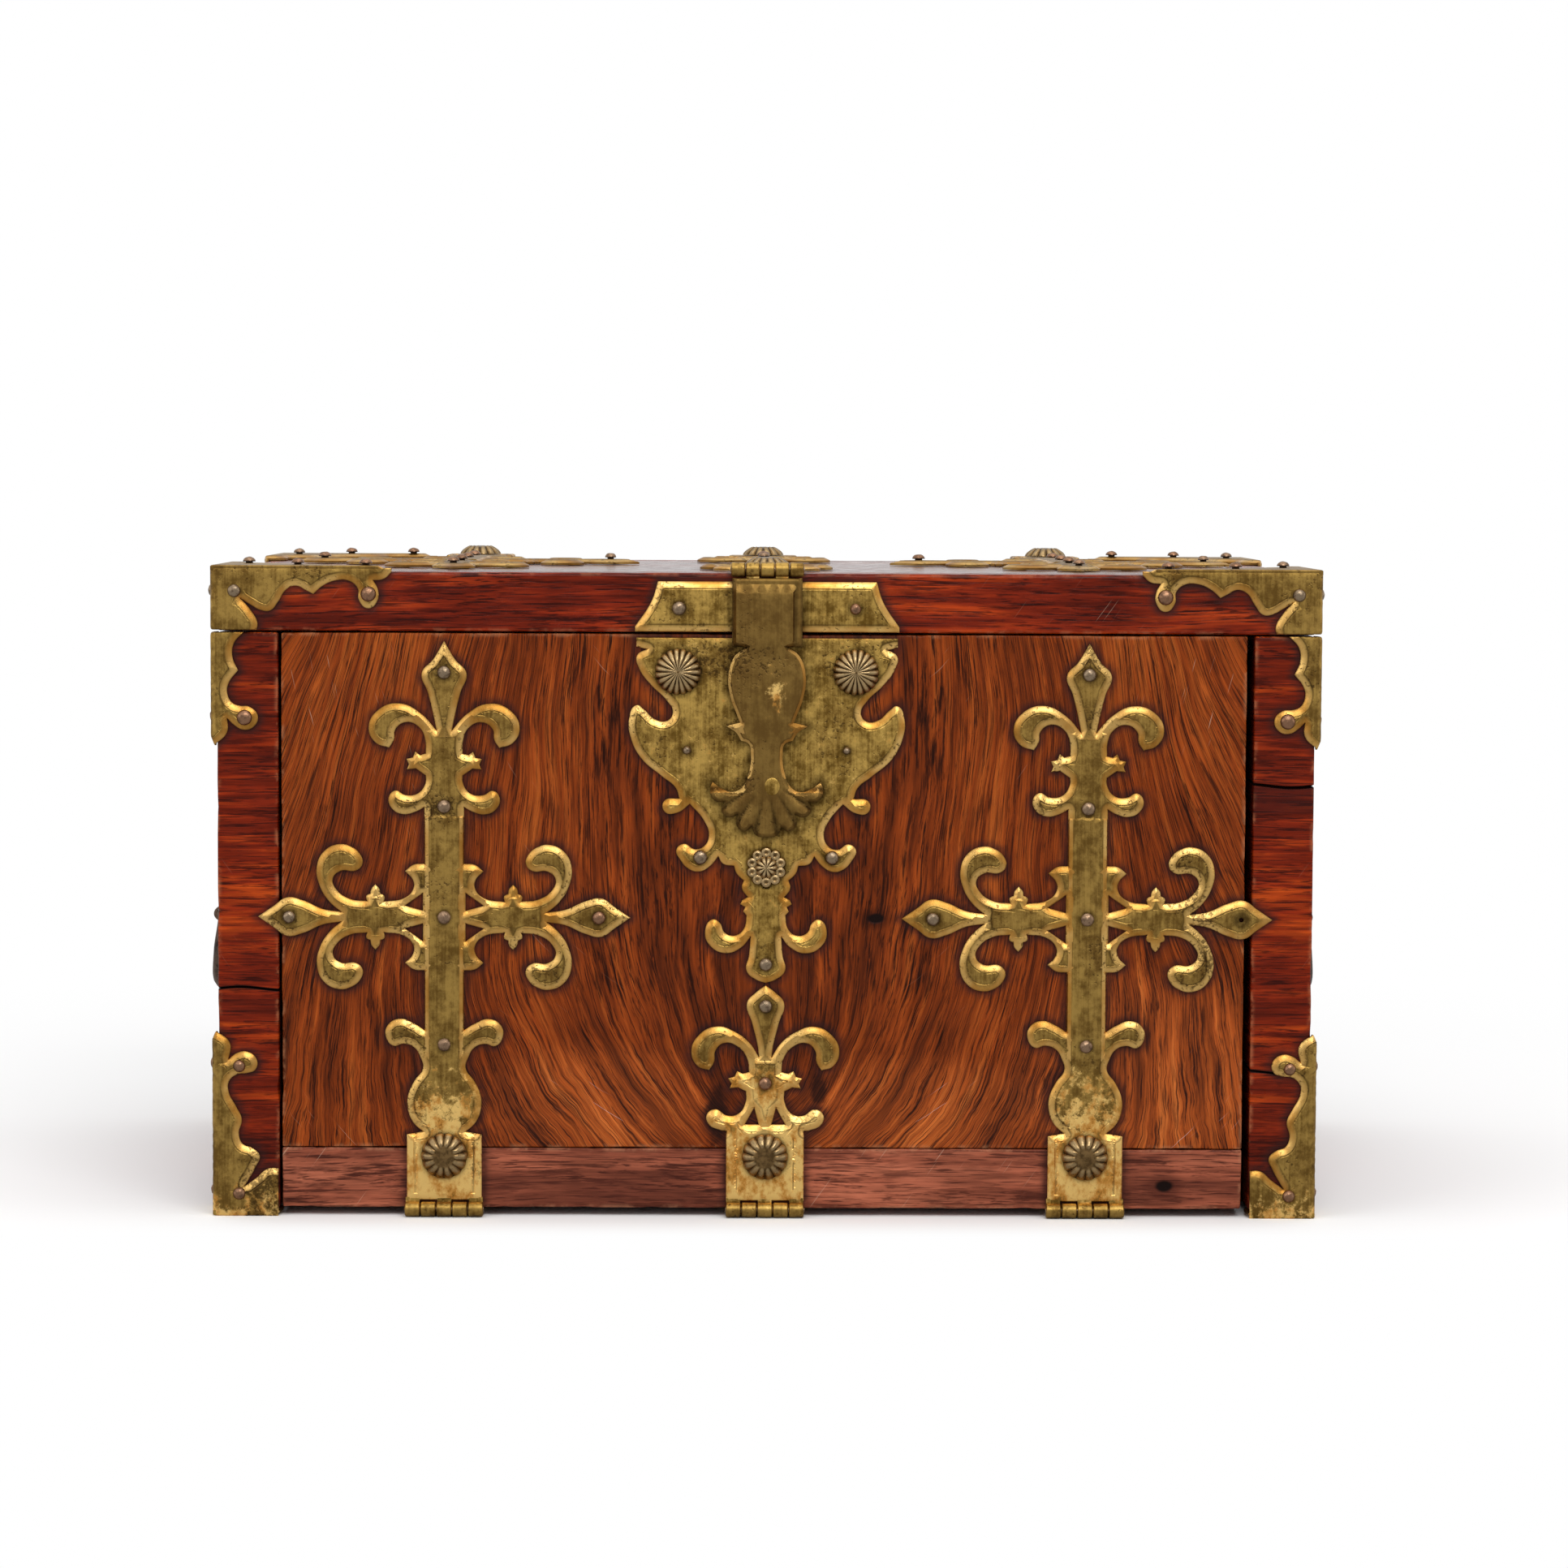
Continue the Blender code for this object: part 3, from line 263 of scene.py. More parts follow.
# Grain shared by every board: broad streaks, fine lines, pores and a slow change of tone, drawn along the third axis.
wood_grain = new_group(
    "rosewood_grain",
    {"Vector": "Vector", "Dark": "Color", "Mid": "Color", "Light": "Color", "Wave": "Float", "Streak": "Float"},
    {"Color": "Color", "Height": "Float"},
)
tree = wood_grain
start = tree.nodes.new("NodeGroupInput").outputs
sway = add(tree, "TexNoise", {"Vector": scaled(tree, start["Vector"], (17.0, 17.0, 7.0)), "Scale": 1.0, "Detail": 2.0})
sway = add(tree, "VectorMath", {0: sway.outputs["Color"], 1: (0.5, 0.5, 0.5)}, operation="SUBTRACT").outputs[0]
sway = add(tree, "VectorMath", {0: sway, "Scale": start["Wave"]}, operation="SCALE").outputs[0]
flow = add(tree, "VectorMath", {0: start["Vector"], 1: scaled(tree, sway, (1.0, 1.0, 0.2))}, operation="ADD").outputs[0]
streaky = add(tree, "VectorMath", {0: flow, "Scale": start["Streak"]}, operation="SCALE").outputs[0]
broad = cloud(tree, scaled(tree, streaky, (1.0, 1.0, 0.075)), 4.0, 0.62)
fine = cloud(tree, scaled(tree, flow, (820.0, 820.0, 24.0)), 3.0, 0.6)
pores = cloud(tree, scaled(tree, flow, (1500.0, 1500.0, 48.0)), 1.0)
tone = cloud(tree, scaled(tree, start["Vector"], (13.0, 13.0, 6.0)), 1.0)
broad = plus(tree, broad, times(tree, less(tree, tone, 0.5), 0.55))
colour = mixed(tree, span(tree, broad, 0.30, 0.58), mixed(tree, 0.38, start["Dark"], start["Mid"]), start["Mid"])
colour = mixed(tree, span(tree, broad, 0.46, 0.78), colour, start["Light"])
bunch = cloud(tree, scaled(tree, flow, (90.0, 90.0, 14.0)), 2.0)
thin = cloud(tree, scaled(tree, flow, (520.0, 520.0, 46.0)), 4.0, 0.62)
thin = times(tree, span(tree, thin, 0.50, 0.64), span(tree, bunch, 0.36, 0.62, 0.2, 0.92))
dash = cloud(tree, scaled(tree, flow, (930.0, 930.0, 110.0)), 3.0, 0.6)
dash = times(tree, span(tree, dash, 0.53, 0.67), span(tree, bunch, 0.34, 0.60, 0.30, 0.85))
colour = mixed(tree, most(tree, thin, dash), colour, start["Dark"])
drift = cloud(tree, scaled(tree, flow, (130.0, 130.0, 34.0)), 3.0, 0.6)
shade = times(tree, span(tree, fine, 0.30, 0.68, 0.74, 1.14), span(tree, drift, 0.32, 0.68, 0.86, 1.14))
colour = mixed(tree, 1.0, colour, grey(tree, shade), "MULTIPLY")
pitted = span(tree, pores, 0.57, 0.67)
colour = mixed(tree, times(tree, pitted, 0.8), colour, start["Dark"])
turned = add(tree, "VectorRotate", {"Vector": start["Vector"], "Angle": 0.62}, rotation_type="Y_AXIS").outputs[0]
scratch = span(tree, cloud(tree, scaled(tree, turned, (26.0, 26.0, 1100.0)), 2.0), 0.70, 0.76)
scratch = times(tree, scratch, span(tree, tone, 0.45, 0.62, 0.0, 0.30))
colour = mixed(tree, scratch, colour, srgb(214, 176, 150))
height = less(tree, times(tree, fine, 0.5), plus(tree, pitted, scratch))
end = tree.nodes.new("NodeGroupOutput")
tree.links.new(colour, end.inputs["Color"])
tree.links.new(height, end.inputs["Height"])


def along(*order):
    """Straight grain: which object axes run across, into and along it."""
    def place(tree, parts, coords):
        return add(tree, "CombineXYZ", dict(enumerate(parts[i] for i in order))).outputs[0]
    return place


def banded(tree, parts, coords):
    """Cross-banded veneer: the grain runs level round the corner from the front edge to the end, and along the top."""
    deep = size_of(tree, parts["X"])
    way = add(tree, "SeparateXYZ", {0: add(tree, "TexCoord").outputs["Normal"]}).outputs["Z"]
    level = maths(tree, "GREATER_THAN", size_of(tree, way), 0.6)
    across = plus(tree, parts["Z"], times(tree, deep, level))
    along_it = plus(tree, parts["Y"], times(tree, deep, less(tree, 1.0, level)))
    return add(tree, "CombineXYZ", {0: across, 1: 0.3, 2: along_it}).outputs[0]


def oval(tree, x, z, middle_x, middle_z, wide, tall):
    """The square of how far out a spot is from the middle of an oval, 1 on its rim."""
    across = maths(tree, "DIVIDE", less(tree, x, middle_x), wide)
    return squares(tree, across, maths(tree, "DIVIDE", less(tree, z, middle_z), tall))


def wood(
    name, place, dark, mid, light, wave=0.006, streak=95.0, gloss=0.30, cracks=(), knots=(), pale=(), stains=(),
    polish=0.07
):
    """Polished rosewood. In metres, cracks are (height, end, half width, dark strip below), knots (x, z, half width,
    half height), and pale and stains the places, written as knots are, where the veneer is lighter or gone black."""
    material, tree, shader = new_material(name)
    coords = add(tree, "TexCoord").outputs["Object"]
    split = add(tree, "SeparateXYZ", {0: coords}).outputs
    inputs = {
        "Vector": place(tree, split, coords), "Dark": dark, "Mid": mid, "Light": light, "Wave": wave, "Streak": streak
    }
    grain = add(tree, "Group", inputs, node_tree=wood_grain)
    colour, height = grain.outputs["Color"], grain.outputs["Height"]
    for spot in pale:
        radius = oval(tree, split["X"], split["Z"], *spot)
        colour = mixed(tree, span(tree, radius, 0.1, 1.0, 0.9, 0.0), colour, (1.55, 1.85, 2.6, 1.0), "MULTIPLY")
    edge = painted(tree, "edge")
    grime = painted(tree, "grime")
    patchy = cloud(tree, scaled(tree, coords, even(130.0)), 4.0, 0.65)
    rubbed = times(tree, span(tree, edge, 0.25, 0.9), span(tree, patchy, 0.46, 0.64, 0.0, 0.45))
    colour = mixed(tree, rubbed, colour, mixed(tree, 0.45, light, srgb(196, 150, 112)))
    # Along the mounts' outlines the wood turns dark: dirt, and painted shade at the foot of the brass.
    soiled_and_shaded = times(tree, span(tree, grime, 0.10, 0.95), span(tree, patchy, 0.25, 0.6, 0.40, 0.85))
    colour = mixed(tree, soiled_and_shaded, colour, srgb(46, 22, 19))
    wobble = times(tree, less(tree, cloud(tree, scaled(tree, coords, even(60.0))), 0.5), 0.004)
    for level, reach, _, stained in cracks:
        below = less(tree, level, split["Z"])
        strip = times(tree, span(tree, below, 0.0, 0.001), span(tree, below, stained, stained + 0.0015, 1.0, 0.0))
        strip = times(tree, strip, span(tree, split["Y"], *FRONT_EDGE, 0.62 if stained else 0.0, 0.0))
        colour = mixed(tree, strip, colour, srgb(38, 14, 13))
        off = less(tree, split["Z"], level)
        for axis, (turns, swing) in CRACK_WAVE.items():
            off = less(tree, off, times(tree, maths(tree, "SINE", times(tree, split[axis], turns)), swing))
        off = size_of(tree, off)
        # The crack's gap is painted near black: painted shade inside it, and it is sunk in the bump.
        shaded_crack = times(
            tree, span(tree, off, 0.0004, 0.0009, 1.0, 0.0), span(tree, split["Y"], reach, reach + 0.002, 1.0, 0.0)
        )
        colour = mixed(tree, shaded_crack, colour, srgb(16, 7, 6))
        height = less(tree, height, times(tree, shaded_crack, 6.0))
    strayed = plus(tree, split["X"], wobble)
    for spot in knots:
        radius = root_of(tree, oval(tree, strayed, split["Z"], *spot))
        core = span(tree, radius, 0.65, 1.15, 1.0, 0.0)
        colour = mixed(tree, span(tree, radius, 1.0, 2.6, 0.55, 0.0), colour, dark)
        colour = mixed(tree, core, colour, srgb(20, 8, 6))
        height = less(tree, height, times(tree, core, 5.0))
    for spot in stains:
        radius = root_of(tree, oval(tree, strayed, split["Z"], *spot))
        radius = plus(tree, radius, times(tree, less(tree, patchy, 0.5), 1.6))
        colour = mixed(tree, span(tree, radius, 0.5, 1.2, 0.82, 0.0), colour, srgb(26, 12, 9))
    rough = span(tree, patchy, 0.3, 0.7, gloss - 0.05, gloss + 0.10)
    rough = plus(tree, rough, times(tree, plus(tree, soiled_and_shaded, rubbed), 0.22))
    bump = add(tree, "Bump", {"Strength": 0.25, "Distance": 0.0004, "Height": height})
    tree.links.new(colour, shader.inputs["Base Color"])
    tree.links.new(rough, shader.inputs["Roughness"])
    tree.links.new(bump.outputs["Normal"], shader.inputs["Normal"])
    shader.inputs["Specular IOR Level"].default_value = polish
    shader.inputs["Coat Weight"].default_value = 0.02
    shader.inputs["Coat Roughness"].default_value = 0.16
    return material


def finish(piece, material, body, slot, *replaced):
    """Gives the piece its finish, hangs it on the body that it rides on and hides the CAD nodes, if any, that it stands
    for.
    """
    piece.data.materials.clear()
    piece.data.materials.append(material)
    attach(piece, body)
    if replaced:
        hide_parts(*replaced)


def carve(piece, *cutters):
    for cutter in cutters:
        cutting = piece.modifiers.new("cut", "BOOLEAN")
        cutting.operation = "DIFFERENCE"
        cutting.solver = "EXACT"
        cutting.object = cutter
        only(piece)
        bpy.ops.object.modifier_apply(modifier="cut")
        bpy.data.objects.remove(cutter, do_unlink=True)


def cracked(piece, sign, level, reach, wide):
    """Opens a shrinkage crack: a wedge cut out of the front edge and on round the outer corner of an end board."""
    low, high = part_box(f"{piece.name.replace('end_board_', '')}_side_board")
    front, outer, inner = low[1], (high if sign > 0 else low)[0], (low if sign > 0 else high)[0]
    path = [
        (x, front, 0.0, -1.0) for x in np.linspace(inner - sign * 2 * MM, outer - sign * 2 * MM, 12)
    ] + [(outer, front, sign * 0.9, -0.9)]
    path += [(outer, y, sign, 0.0) for y in np.linspace(front + 2 * MM, reach, 16)]
    co, faces = [], []
    for i, (x, y, out_x, out_y) in enumerate(path):
        share = 1.0 if i < 13 else 1.0 - 0.95 * (i - 12) / 16
        z = level + sum(swing * math.sin(turns * at) for at, (turns, swing) in zip((x, y), CRACK_WAVE.values()))
        far, deep = CRACK_DEPTH, CRACK_DEPTH * share
        co += [(x + out_x * far, y + out_y * far, z + dz) for dz in (2 * wide * share, -2 * wide * share)]
        co.append((x - out_x * deep, y - out_y * deep, z))
    for i in range(len(path) - 1):
        faces += [(3 * i + a, 3 * i + b, 3 * i + 3 + b, 3 * i + 3 + a) for a, b in ((0, 1), (1, 2), (2, 0))]
    faces += [(2, 1, 0), tuple(3 * len(path) - 3 + k for k in range(3))]
    mesh = bpy.data.meshes.new("crack")
    mesh.from_pydata(co, [], faces)
    cutter = placed("crack", mesh)
    face_out()
    carve(piece, cutter)
    split = piece.modifiers.new("split", "TRIANGULATE")
    split.min_vertices = 5
    bpy.ops.object.modifier_apply(modifier="split")
    bpy.ops.object.shade_smooth_by_angle(angle=math.radians(32))


STILE_DARK, STILE_MID, STILE_LIGHT = srgb(46, 10, 5), srgb(120, 32, 8), srgb(182, 72, 16)
boards = {}
for side, cracks in (
    ("left", [(0.0926, -0.09, 0.0004, 0.0)]),
    ("right", [(0.1764, -0.06, 0.0007, 0.0105), (0.0598, -0.10, 0.0003, 0.0)])
):
    boards[side] = board(f"end_board_{side}", f"{side}_side_board", 1, 2.2 * MM, steps=70)
    for level, reach, wide, _ in cracks:
        cracked(boards[side], 1 if side == "right" else -1, level, reach, wide)
    end_wood = wood(f"end_wood_{side}", banded, STILE_DARK, STILE_MID, STILE_LIGHT, 0.004, 150.0, 0.30, cracks)
    finish(boards[side], end_wood, "carcass", "rosewood", f"{side}_side_board")
plain_wood = wood("back_wood", along(2, 1, 0), srgb(48, 18, 12), srgb(96, 42, 22), srgb(134, 68, 34), 0.008, 80.0, 0.42)
boards["back"] = board("back_panel_board", "back_board", 1, 5.0 * MM)
finish(boards["back"], plain_wood, "carcass", "rosewood", "back_board")
boards["base"] = board("base_panel_board", "base_board", 2, 6.0 * MM)
finish(boards["base"], plain_wood, "carcass", "rosewood", "base_board")

# ---------------------------------------------------------------- Fall front
# A drop front of one wide board with a figured crotch veneer, glued over a narrow cross rail at its foot.
# Mortised from behind for the lock, with a slot for the hasp's staple and a keyhole through the face.
SLOT_X, SLOT_Z = 2.8, (168.0, 181.8)
KEY_Z, KEY_R, BIT_X, BIT_Z = 140.4, 2.2, 1.4, 134.4
MORTISE = ((-35.0, 35.0), (-126.55, -110.0), (124.8, 191.7))


def slot_cutter(x, y, z):
    """A block, in millimetres, to cut with."""
    bpy.ops.object.select_all(action="DESELECT")
    bpy.ops.mesh.primitive_cube_add(size=1.0)
    cutter = bpy.context.active_object
    for vert in cutter.data.vertices:
        vert.co = [(low + (c + 0.5) * (high - low)) * MM for c, (low, high) in zip(vert.co, (x, y, z))]
    return cutter


def key_cutter(y):
    bpy.ops.object.select_all(action="DESELECT")
    bpy.ops.mesh.primitive_cylinder_add(
        vertices=24, radius=KEY_R * MM, depth=(y[1] - y[0]) * MM,
        location=(0.0, sum(y) / 2 * MM, KEY_Z * MM), rotation=(math.pi / 2, 0.0, 0.0),
    )
    return bpy.context.active_object


def crotch(tree, parts, coords):
    """Grain that falls from both sides into nested bows round a low centre, leaning out at the far ends."""
    slow = cloud(tree, scaled(tree, coords, (11.0, 11.0, 8.0)), 2.0)
    x = plus(tree, parts["X"], times(tree, less(tree, slow, 0.5), 0.022))
    up = less(tree, parts["Z"], 0.052)
    reach = root_of(tree, squares(tree, x, up))
    bow = less(tree, reach, times(tree, up, 0.92))
    bow = plus(tree, bow, times(tree, size_of(tree, x), 0.55))
    lean = span(tree, size_of(tree, x), 0.06, 0.20, 0.0, 1.15)
    across = plus(tree, bow, times(tree, lean, up))
    low = span(tree, parts["Z"], 0.03, 0.13, 1.0, 0.0)
    burr = cloud(tree, scaled(tree, coords, (48.0, 48.0, 40.0)), 3.0)
    across = plus(tree, across, times(tree, times(tree, less(tree, burr, 0.5), low), 0.011))
    return add(tree, "CombineXYZ", {0: across, 1: 0.3, 2: parts["Z"]}).outputs[0]


boards["front"] = board("front_panel_board", "front_panel", 1, 2.0 * MM, 0.7 * MM, 0.8)
carve(
    boards["front"], slot_cutter(*MORTISE), slot_cutter((-SLOT_X, SLOT_X), (-140.0, -110.0), SLOT_Z),
    key_cutter((-140.0, -110.0)), slot_cutter((-BIT_X, BIT_X), (-140.0, -110.0), (BIT_Z, KEY_Z)),
)
front_wood = wood(
    "front_wood", crotch, srgb(26, 8, 4), srgb(127, 52, 12), srgb(154, 75, 25), 0.0035, 150.0, 0.30,
    knots=[(0.0443, 0.1219, 0.0038, 0.0022)],
    stains=[(-0.0194, 0.042, 0.005, 0.014), (0.0215, 0.052, 0.004, 0.007)],
    pale=[(0.160, 0.060, 0.07, 0.05), (0.060, 0.040, 0.07, 0.03), (-0.07, 0.045, 0.06, 0.03)],
)
finish(boards["front"], front_wood, "fall_front", "rosewood", "front_panel")
boards["rail"] = board("front_foot_rail", "front_bottom_rail", 1, 2.0 * MM, 0.7 * MM)
rail_wood = wood(
    "rail_wood", along(2, 1, 0), srgb(64, 27, 19), srgb(138, 73, 52), srgb(172, 98, 72), 0.008, 120.0, 0.34,
    knots=[(0.1626, 0.0128, 0.0042, 0.0026)],
)
finish(boards["rail"], rail_wood, "fall_front", "rosewood", "front_bottom_rail")

# ---------------------------------------------------------------- Lock case and bolt
# An iron tray let into the back of the front, with a guide and a keeper, and a square bolt with a tail for the key.
# Hand-forged, so dark with scale, browned by rust and rubbed bright along the corners.
def iron(name, dark, warm, bright):
    material, tree, shader = new_material(name)
    coords = add(tree, "TexCoord").outputs["Object"]
    scale = cloud(tree, scaled(tree, coords, even(210.0)), 5.0, 0.65)
    rust = cloud(tree, scaled(tree, coords, even(60.0)), 3.0)
    pointed = add(tree, "NewGeometry").outputs["Pointiness"]
    colour = mixed(tree, span(tree, rust, 0.42, 0.66), dark, warm)
    worn = times(tree, span(tree, pointed, 0.505, 0.56), span(tree, scale, 0.35, 0.6))
    colour = mixed(tree, worn, colour, bright)
    tree.links.new(colour, shader.inputs["Base Color"])
    tree.links.new(span(tree, scale, 0.3, 0.7, 0.36, 0.62), shader.inputs["Roughness"])
    bump = add(tree, "Bump", {"Strength": 0.35, "Distance": 0.0005, "Height": scale})
    tree.links.new(bump.outputs["Normal"], shader.inputs["Normal"])
    shader.inputs["Metallic"].default_value = 0.9
    return material


lock_iron = iron("lock_iron", srgb(66, 58, 52), srgb(96, 62, 42), srgb(168, 160, 150))
for name in ("lock_case", "lock_bolt"):
    nodes[name].data.materials.clear()
    nodes[name].data.materials.append(lock_iron)

# ---------------------------------------------------------------- Fall-front straps
# Two pierced crosses with fleur-de-lis ends and one short strap: cast brass sheet about 2 mm thick, its edges filed
# to a wide bevel outside a scribed line, nailed on, rolled into knuckles at the foot and gilded bright at the hinges.
Y_FRONT, SEAT, FRONT_AXIS = -134.55, 0.3, (-137.85, 3.2)
STRAP_X, CROSS_RISE, HINGE_LENGTH, KNUCKLE_R, LEAF_START = 130.0, 118.7, 32.0, 3.0, 3.5
PLATE, BEVEL = 2.2, 2.6
CROSS_HEAD = [
    (0.0, 111.6, 0), (4.4, 104.2, 1), (9.0, 98.6, 1), (6.6, 91.0, 1), (3.8, 79.4, 1), (3.1, 75.6, 0),
    (9.4, 82.4, 1), (17.8, 86.4, 1), (26.2, 84.0, 1), (30.4, 76.8, 1), (27.6, 70.6, 1), (22.2, 68.6, 0),
    (20.2, 71.8, 1), (19.6, 76.0, 1), (15.2, 78.9, 1), (9.8, 76.6, 1), (7.6, 71.6, 1), (7.4, 66.2, 0),
    (9.8, 65.6, 0), (11.6, 67.0, 0), (12.6, 64.6, 0), (15.2, 64.0, 0), (14.2, 61.8, 0), (15.0, 59.8, 0),
    (11.4, 60.2, 0),
    (7.4, 57.4, 0), (7.4, 54.8, 1), (10.4, 50.2, 1), (15.6, 49.4, 1), (19.8, 51.2, 1),
    (22.4, 48.2, 1), (20.9, 43.8, 1), (16.6, 41.7, 1), (11.6, 42.7, 1), (8.0, 44.6, 0),
]
CROSS_ARM = [
    (8.0, 21.6, 0), (12.4, 21.2, 1), (15.8, 18.6, 0), (12.6, 15.0, 1), (12.4, 11.6, 1), (15.9, 7.8, 1), (24.4, 6.2, 0),
    (24.2, 8.6, 1), (25.8, 9.4, 0), (26.2, 11.4, 1), (27.8, 13.2, 0), (29.4, 11.4, 1), (29.8, 9.4, 0),
    (31.4, 8.6, 1), (31.2, 6.4, 0),
    (37.9, 7.2, 1), (43.5, 11.0, 1), (45.0, 15.4, 1), (41.8, 18.6, 1), (35.6, 18.8, 1),
    (33.0, 21.4, 1), (33.8, 25.2, 1), (37.9, 28.6, 1), (42.6, 29.4, 1), (48.4, 26.6, 1), (51.4, 20.2, 1),
    (50.2, 12.4, 1), (46.4, 6.2, 1), (41.6, 2.0, 0), (48.8, 3.1, 1), (57.0, 6.6, 1), (63.4, 7.8, 1), (69.0, 4.2, 1),
]
CROSS_FOOT = [
    (8.0, -46.0, 0), (12.1, -43.4, 1), (18.3, -41.4, 1), (23.0, -44.2, 1), (23.6, -48.8, 1), (20.6, -52.4, 1),
    (16.5, -51.5, 1), (12.2, -53.0, 1), (9.6, -57.2, 1), (8.6, -61.4, 1), (12.1, -66.7, 1), (14.7, -72.8, 1),
    (14.8, -78.0, 1), (12.6, -83.6, 1), (8.6, -87.4, 0), (15.1, -88.5, 0),
]
CROSS_HALF = CROSS_HEAD + CROSS_ARM + [(75.1, 0.0, 0)] + [
    (u, -v, kind) for u, v, kind in reversed(CROSS_ARM)
] + CROSS_FOOT
CROSS_OPENINGS = [[(8.6, 9.8, 0), (16.0, 4.6, 0), (8.6, 2.6, 0)]]
CROSS_NAILS = [(0.0, 99.0), (0.0, 44.9), (0.0, 0.0), (0.0, -51.7), (62.5, 0.0, 2.7, 0.9), (-62.5, 0.0)]
SHORT_HALF = [
    (0.0, 91.4, 0), (3.8, 88.6, 1), (7.5, 84.2, 1), (5.4, 76.0, 1), (3.0, 66.0, 1), (2.6, 62.2, 0), (6.4, 67.9, 1),
    (12.3, 72.4, 1), (19.8, 74.6, 1), (27.0, 71.0, 1), (30.0, 64.3, 1), (27.4, 58.4, 1), (22.8, 56.8, 0),
    (20.8, 60.0, 1),
    (20.2, 64.8, 1), (16.6, 67.9, 1), (11.0, 66.3, 1), (7.2, 61.1, 1), (6.6, 56.0, 0), (9.2, 55.4, 0),
    (11.4, 56.4, 0), (12.4, 54.2, 0),
    (15.0, 53.4, 0), (13.6, 51.2, 0), (14.4, 49.4, 0), (11.0, 49.8, 0), (7.8, 48.2, 0),
    (7.8, 44.0, 1), (10.8, 39.0, 1), (15.4, 38.2, 1), (20.2, 40.8, 1), (23.7, 38.4, 1), (22.6, 34.4, 1),
    (17.8, 32.2, 0),
    (15.7, 31.8, 0), (15.7, LEAF_START, 0),
]
SHORT_OPENINGS = [[(4.4, 41.6, 0), (8.2, 34.6, 0), (2.6, 34.6, 0)]]
SHORT_NAILS = [(0.0, 83.0), (0.0, 51.5, 2.6, 0.9)]
ROSETTE_R, ROSETTE_RISE, ROSETTE_FROM_AXIS = 9.2, 4.4, 21.6
NAIL_R, PROUD_NAIL = 2.7, (2.5, 1.0)
PLATE_LINE, HOLE_AT, HOLE_R = 11.7, 62.5, 0.9


def mirrored(half):
    """A closed outline from its right half, listed from the top to the bottom."""
    return half + [(-u, v, kind) for u, v, kind in reversed(half) if abs(u) > 1e-6]


def traced(points, step=0.9):
    """The closed outline as a fine line: smooth through round points, cornered at sharp ones."""
    spots = [Vector((u, v)) for u, v, _ in points]
    count = len(spots)
    lines = []
    for i in range(count):
        j = (i + 1) % count
        a, b = spots[i], spots[j]
        length = (b - a).length

        def handle(k, towards):
            before, here, after = spots[k - 1], spots[k], spots[(k + 1) % count]
            if not points[k][2]:
                return here + (towards - here) / 3
            way = (here - before).normalized() + (after - here).normalized()
            way = way.normalized() if way.length > 1e-6 else (after - before).normalized()
            return here + way * math.copysign(length * 0.39, way.dot(towards - here))

        steps = max(2, math.ceil(length / step))
        lines += geometry.interpolate_bezier(a, handle(i, b), handle(j, a), b, steps + 1)[:-1]
    return np.array([(p.x, p.y) for p in lines])


def off_line(spots, starts, ends):
    """How far each spot is from the nearest of these line pieces."""
    best = np.full(len(spots), 1e9)
    way = ends - starts
    size = np.maximum((way ** 2).sum(1), 1e-12)
    for first in range(0, len(spots), 2000):
        block = spots[first:first + 2000, None, :] - starts[None]
        share = np.clip((block * way).sum(2) / size, 0, 1)
        best[first:first + 2000] = np.sqrt(((block - share[..., None] * way) ** 2).sum(2)).min(1)
    return best


def within(spots, loop):
    """Which spots are inside the closed line."""
    a, b = loop, np.roll(loop, -1, axis=0)
    inside = np.zeros(len(spots), bool)
    for (x0, y0), (x1, y1) in zip(a, b):
        if y0 == y1:
            continue
        crosses = (y0 > spots[:, 1]) != (y1 > spots[:, 1])
        inside ^= crosses & (spots[:, 0] < (x1 - x0) * (spots[:, 1] - y0) / (y1 - y0) + x0)
    return inside


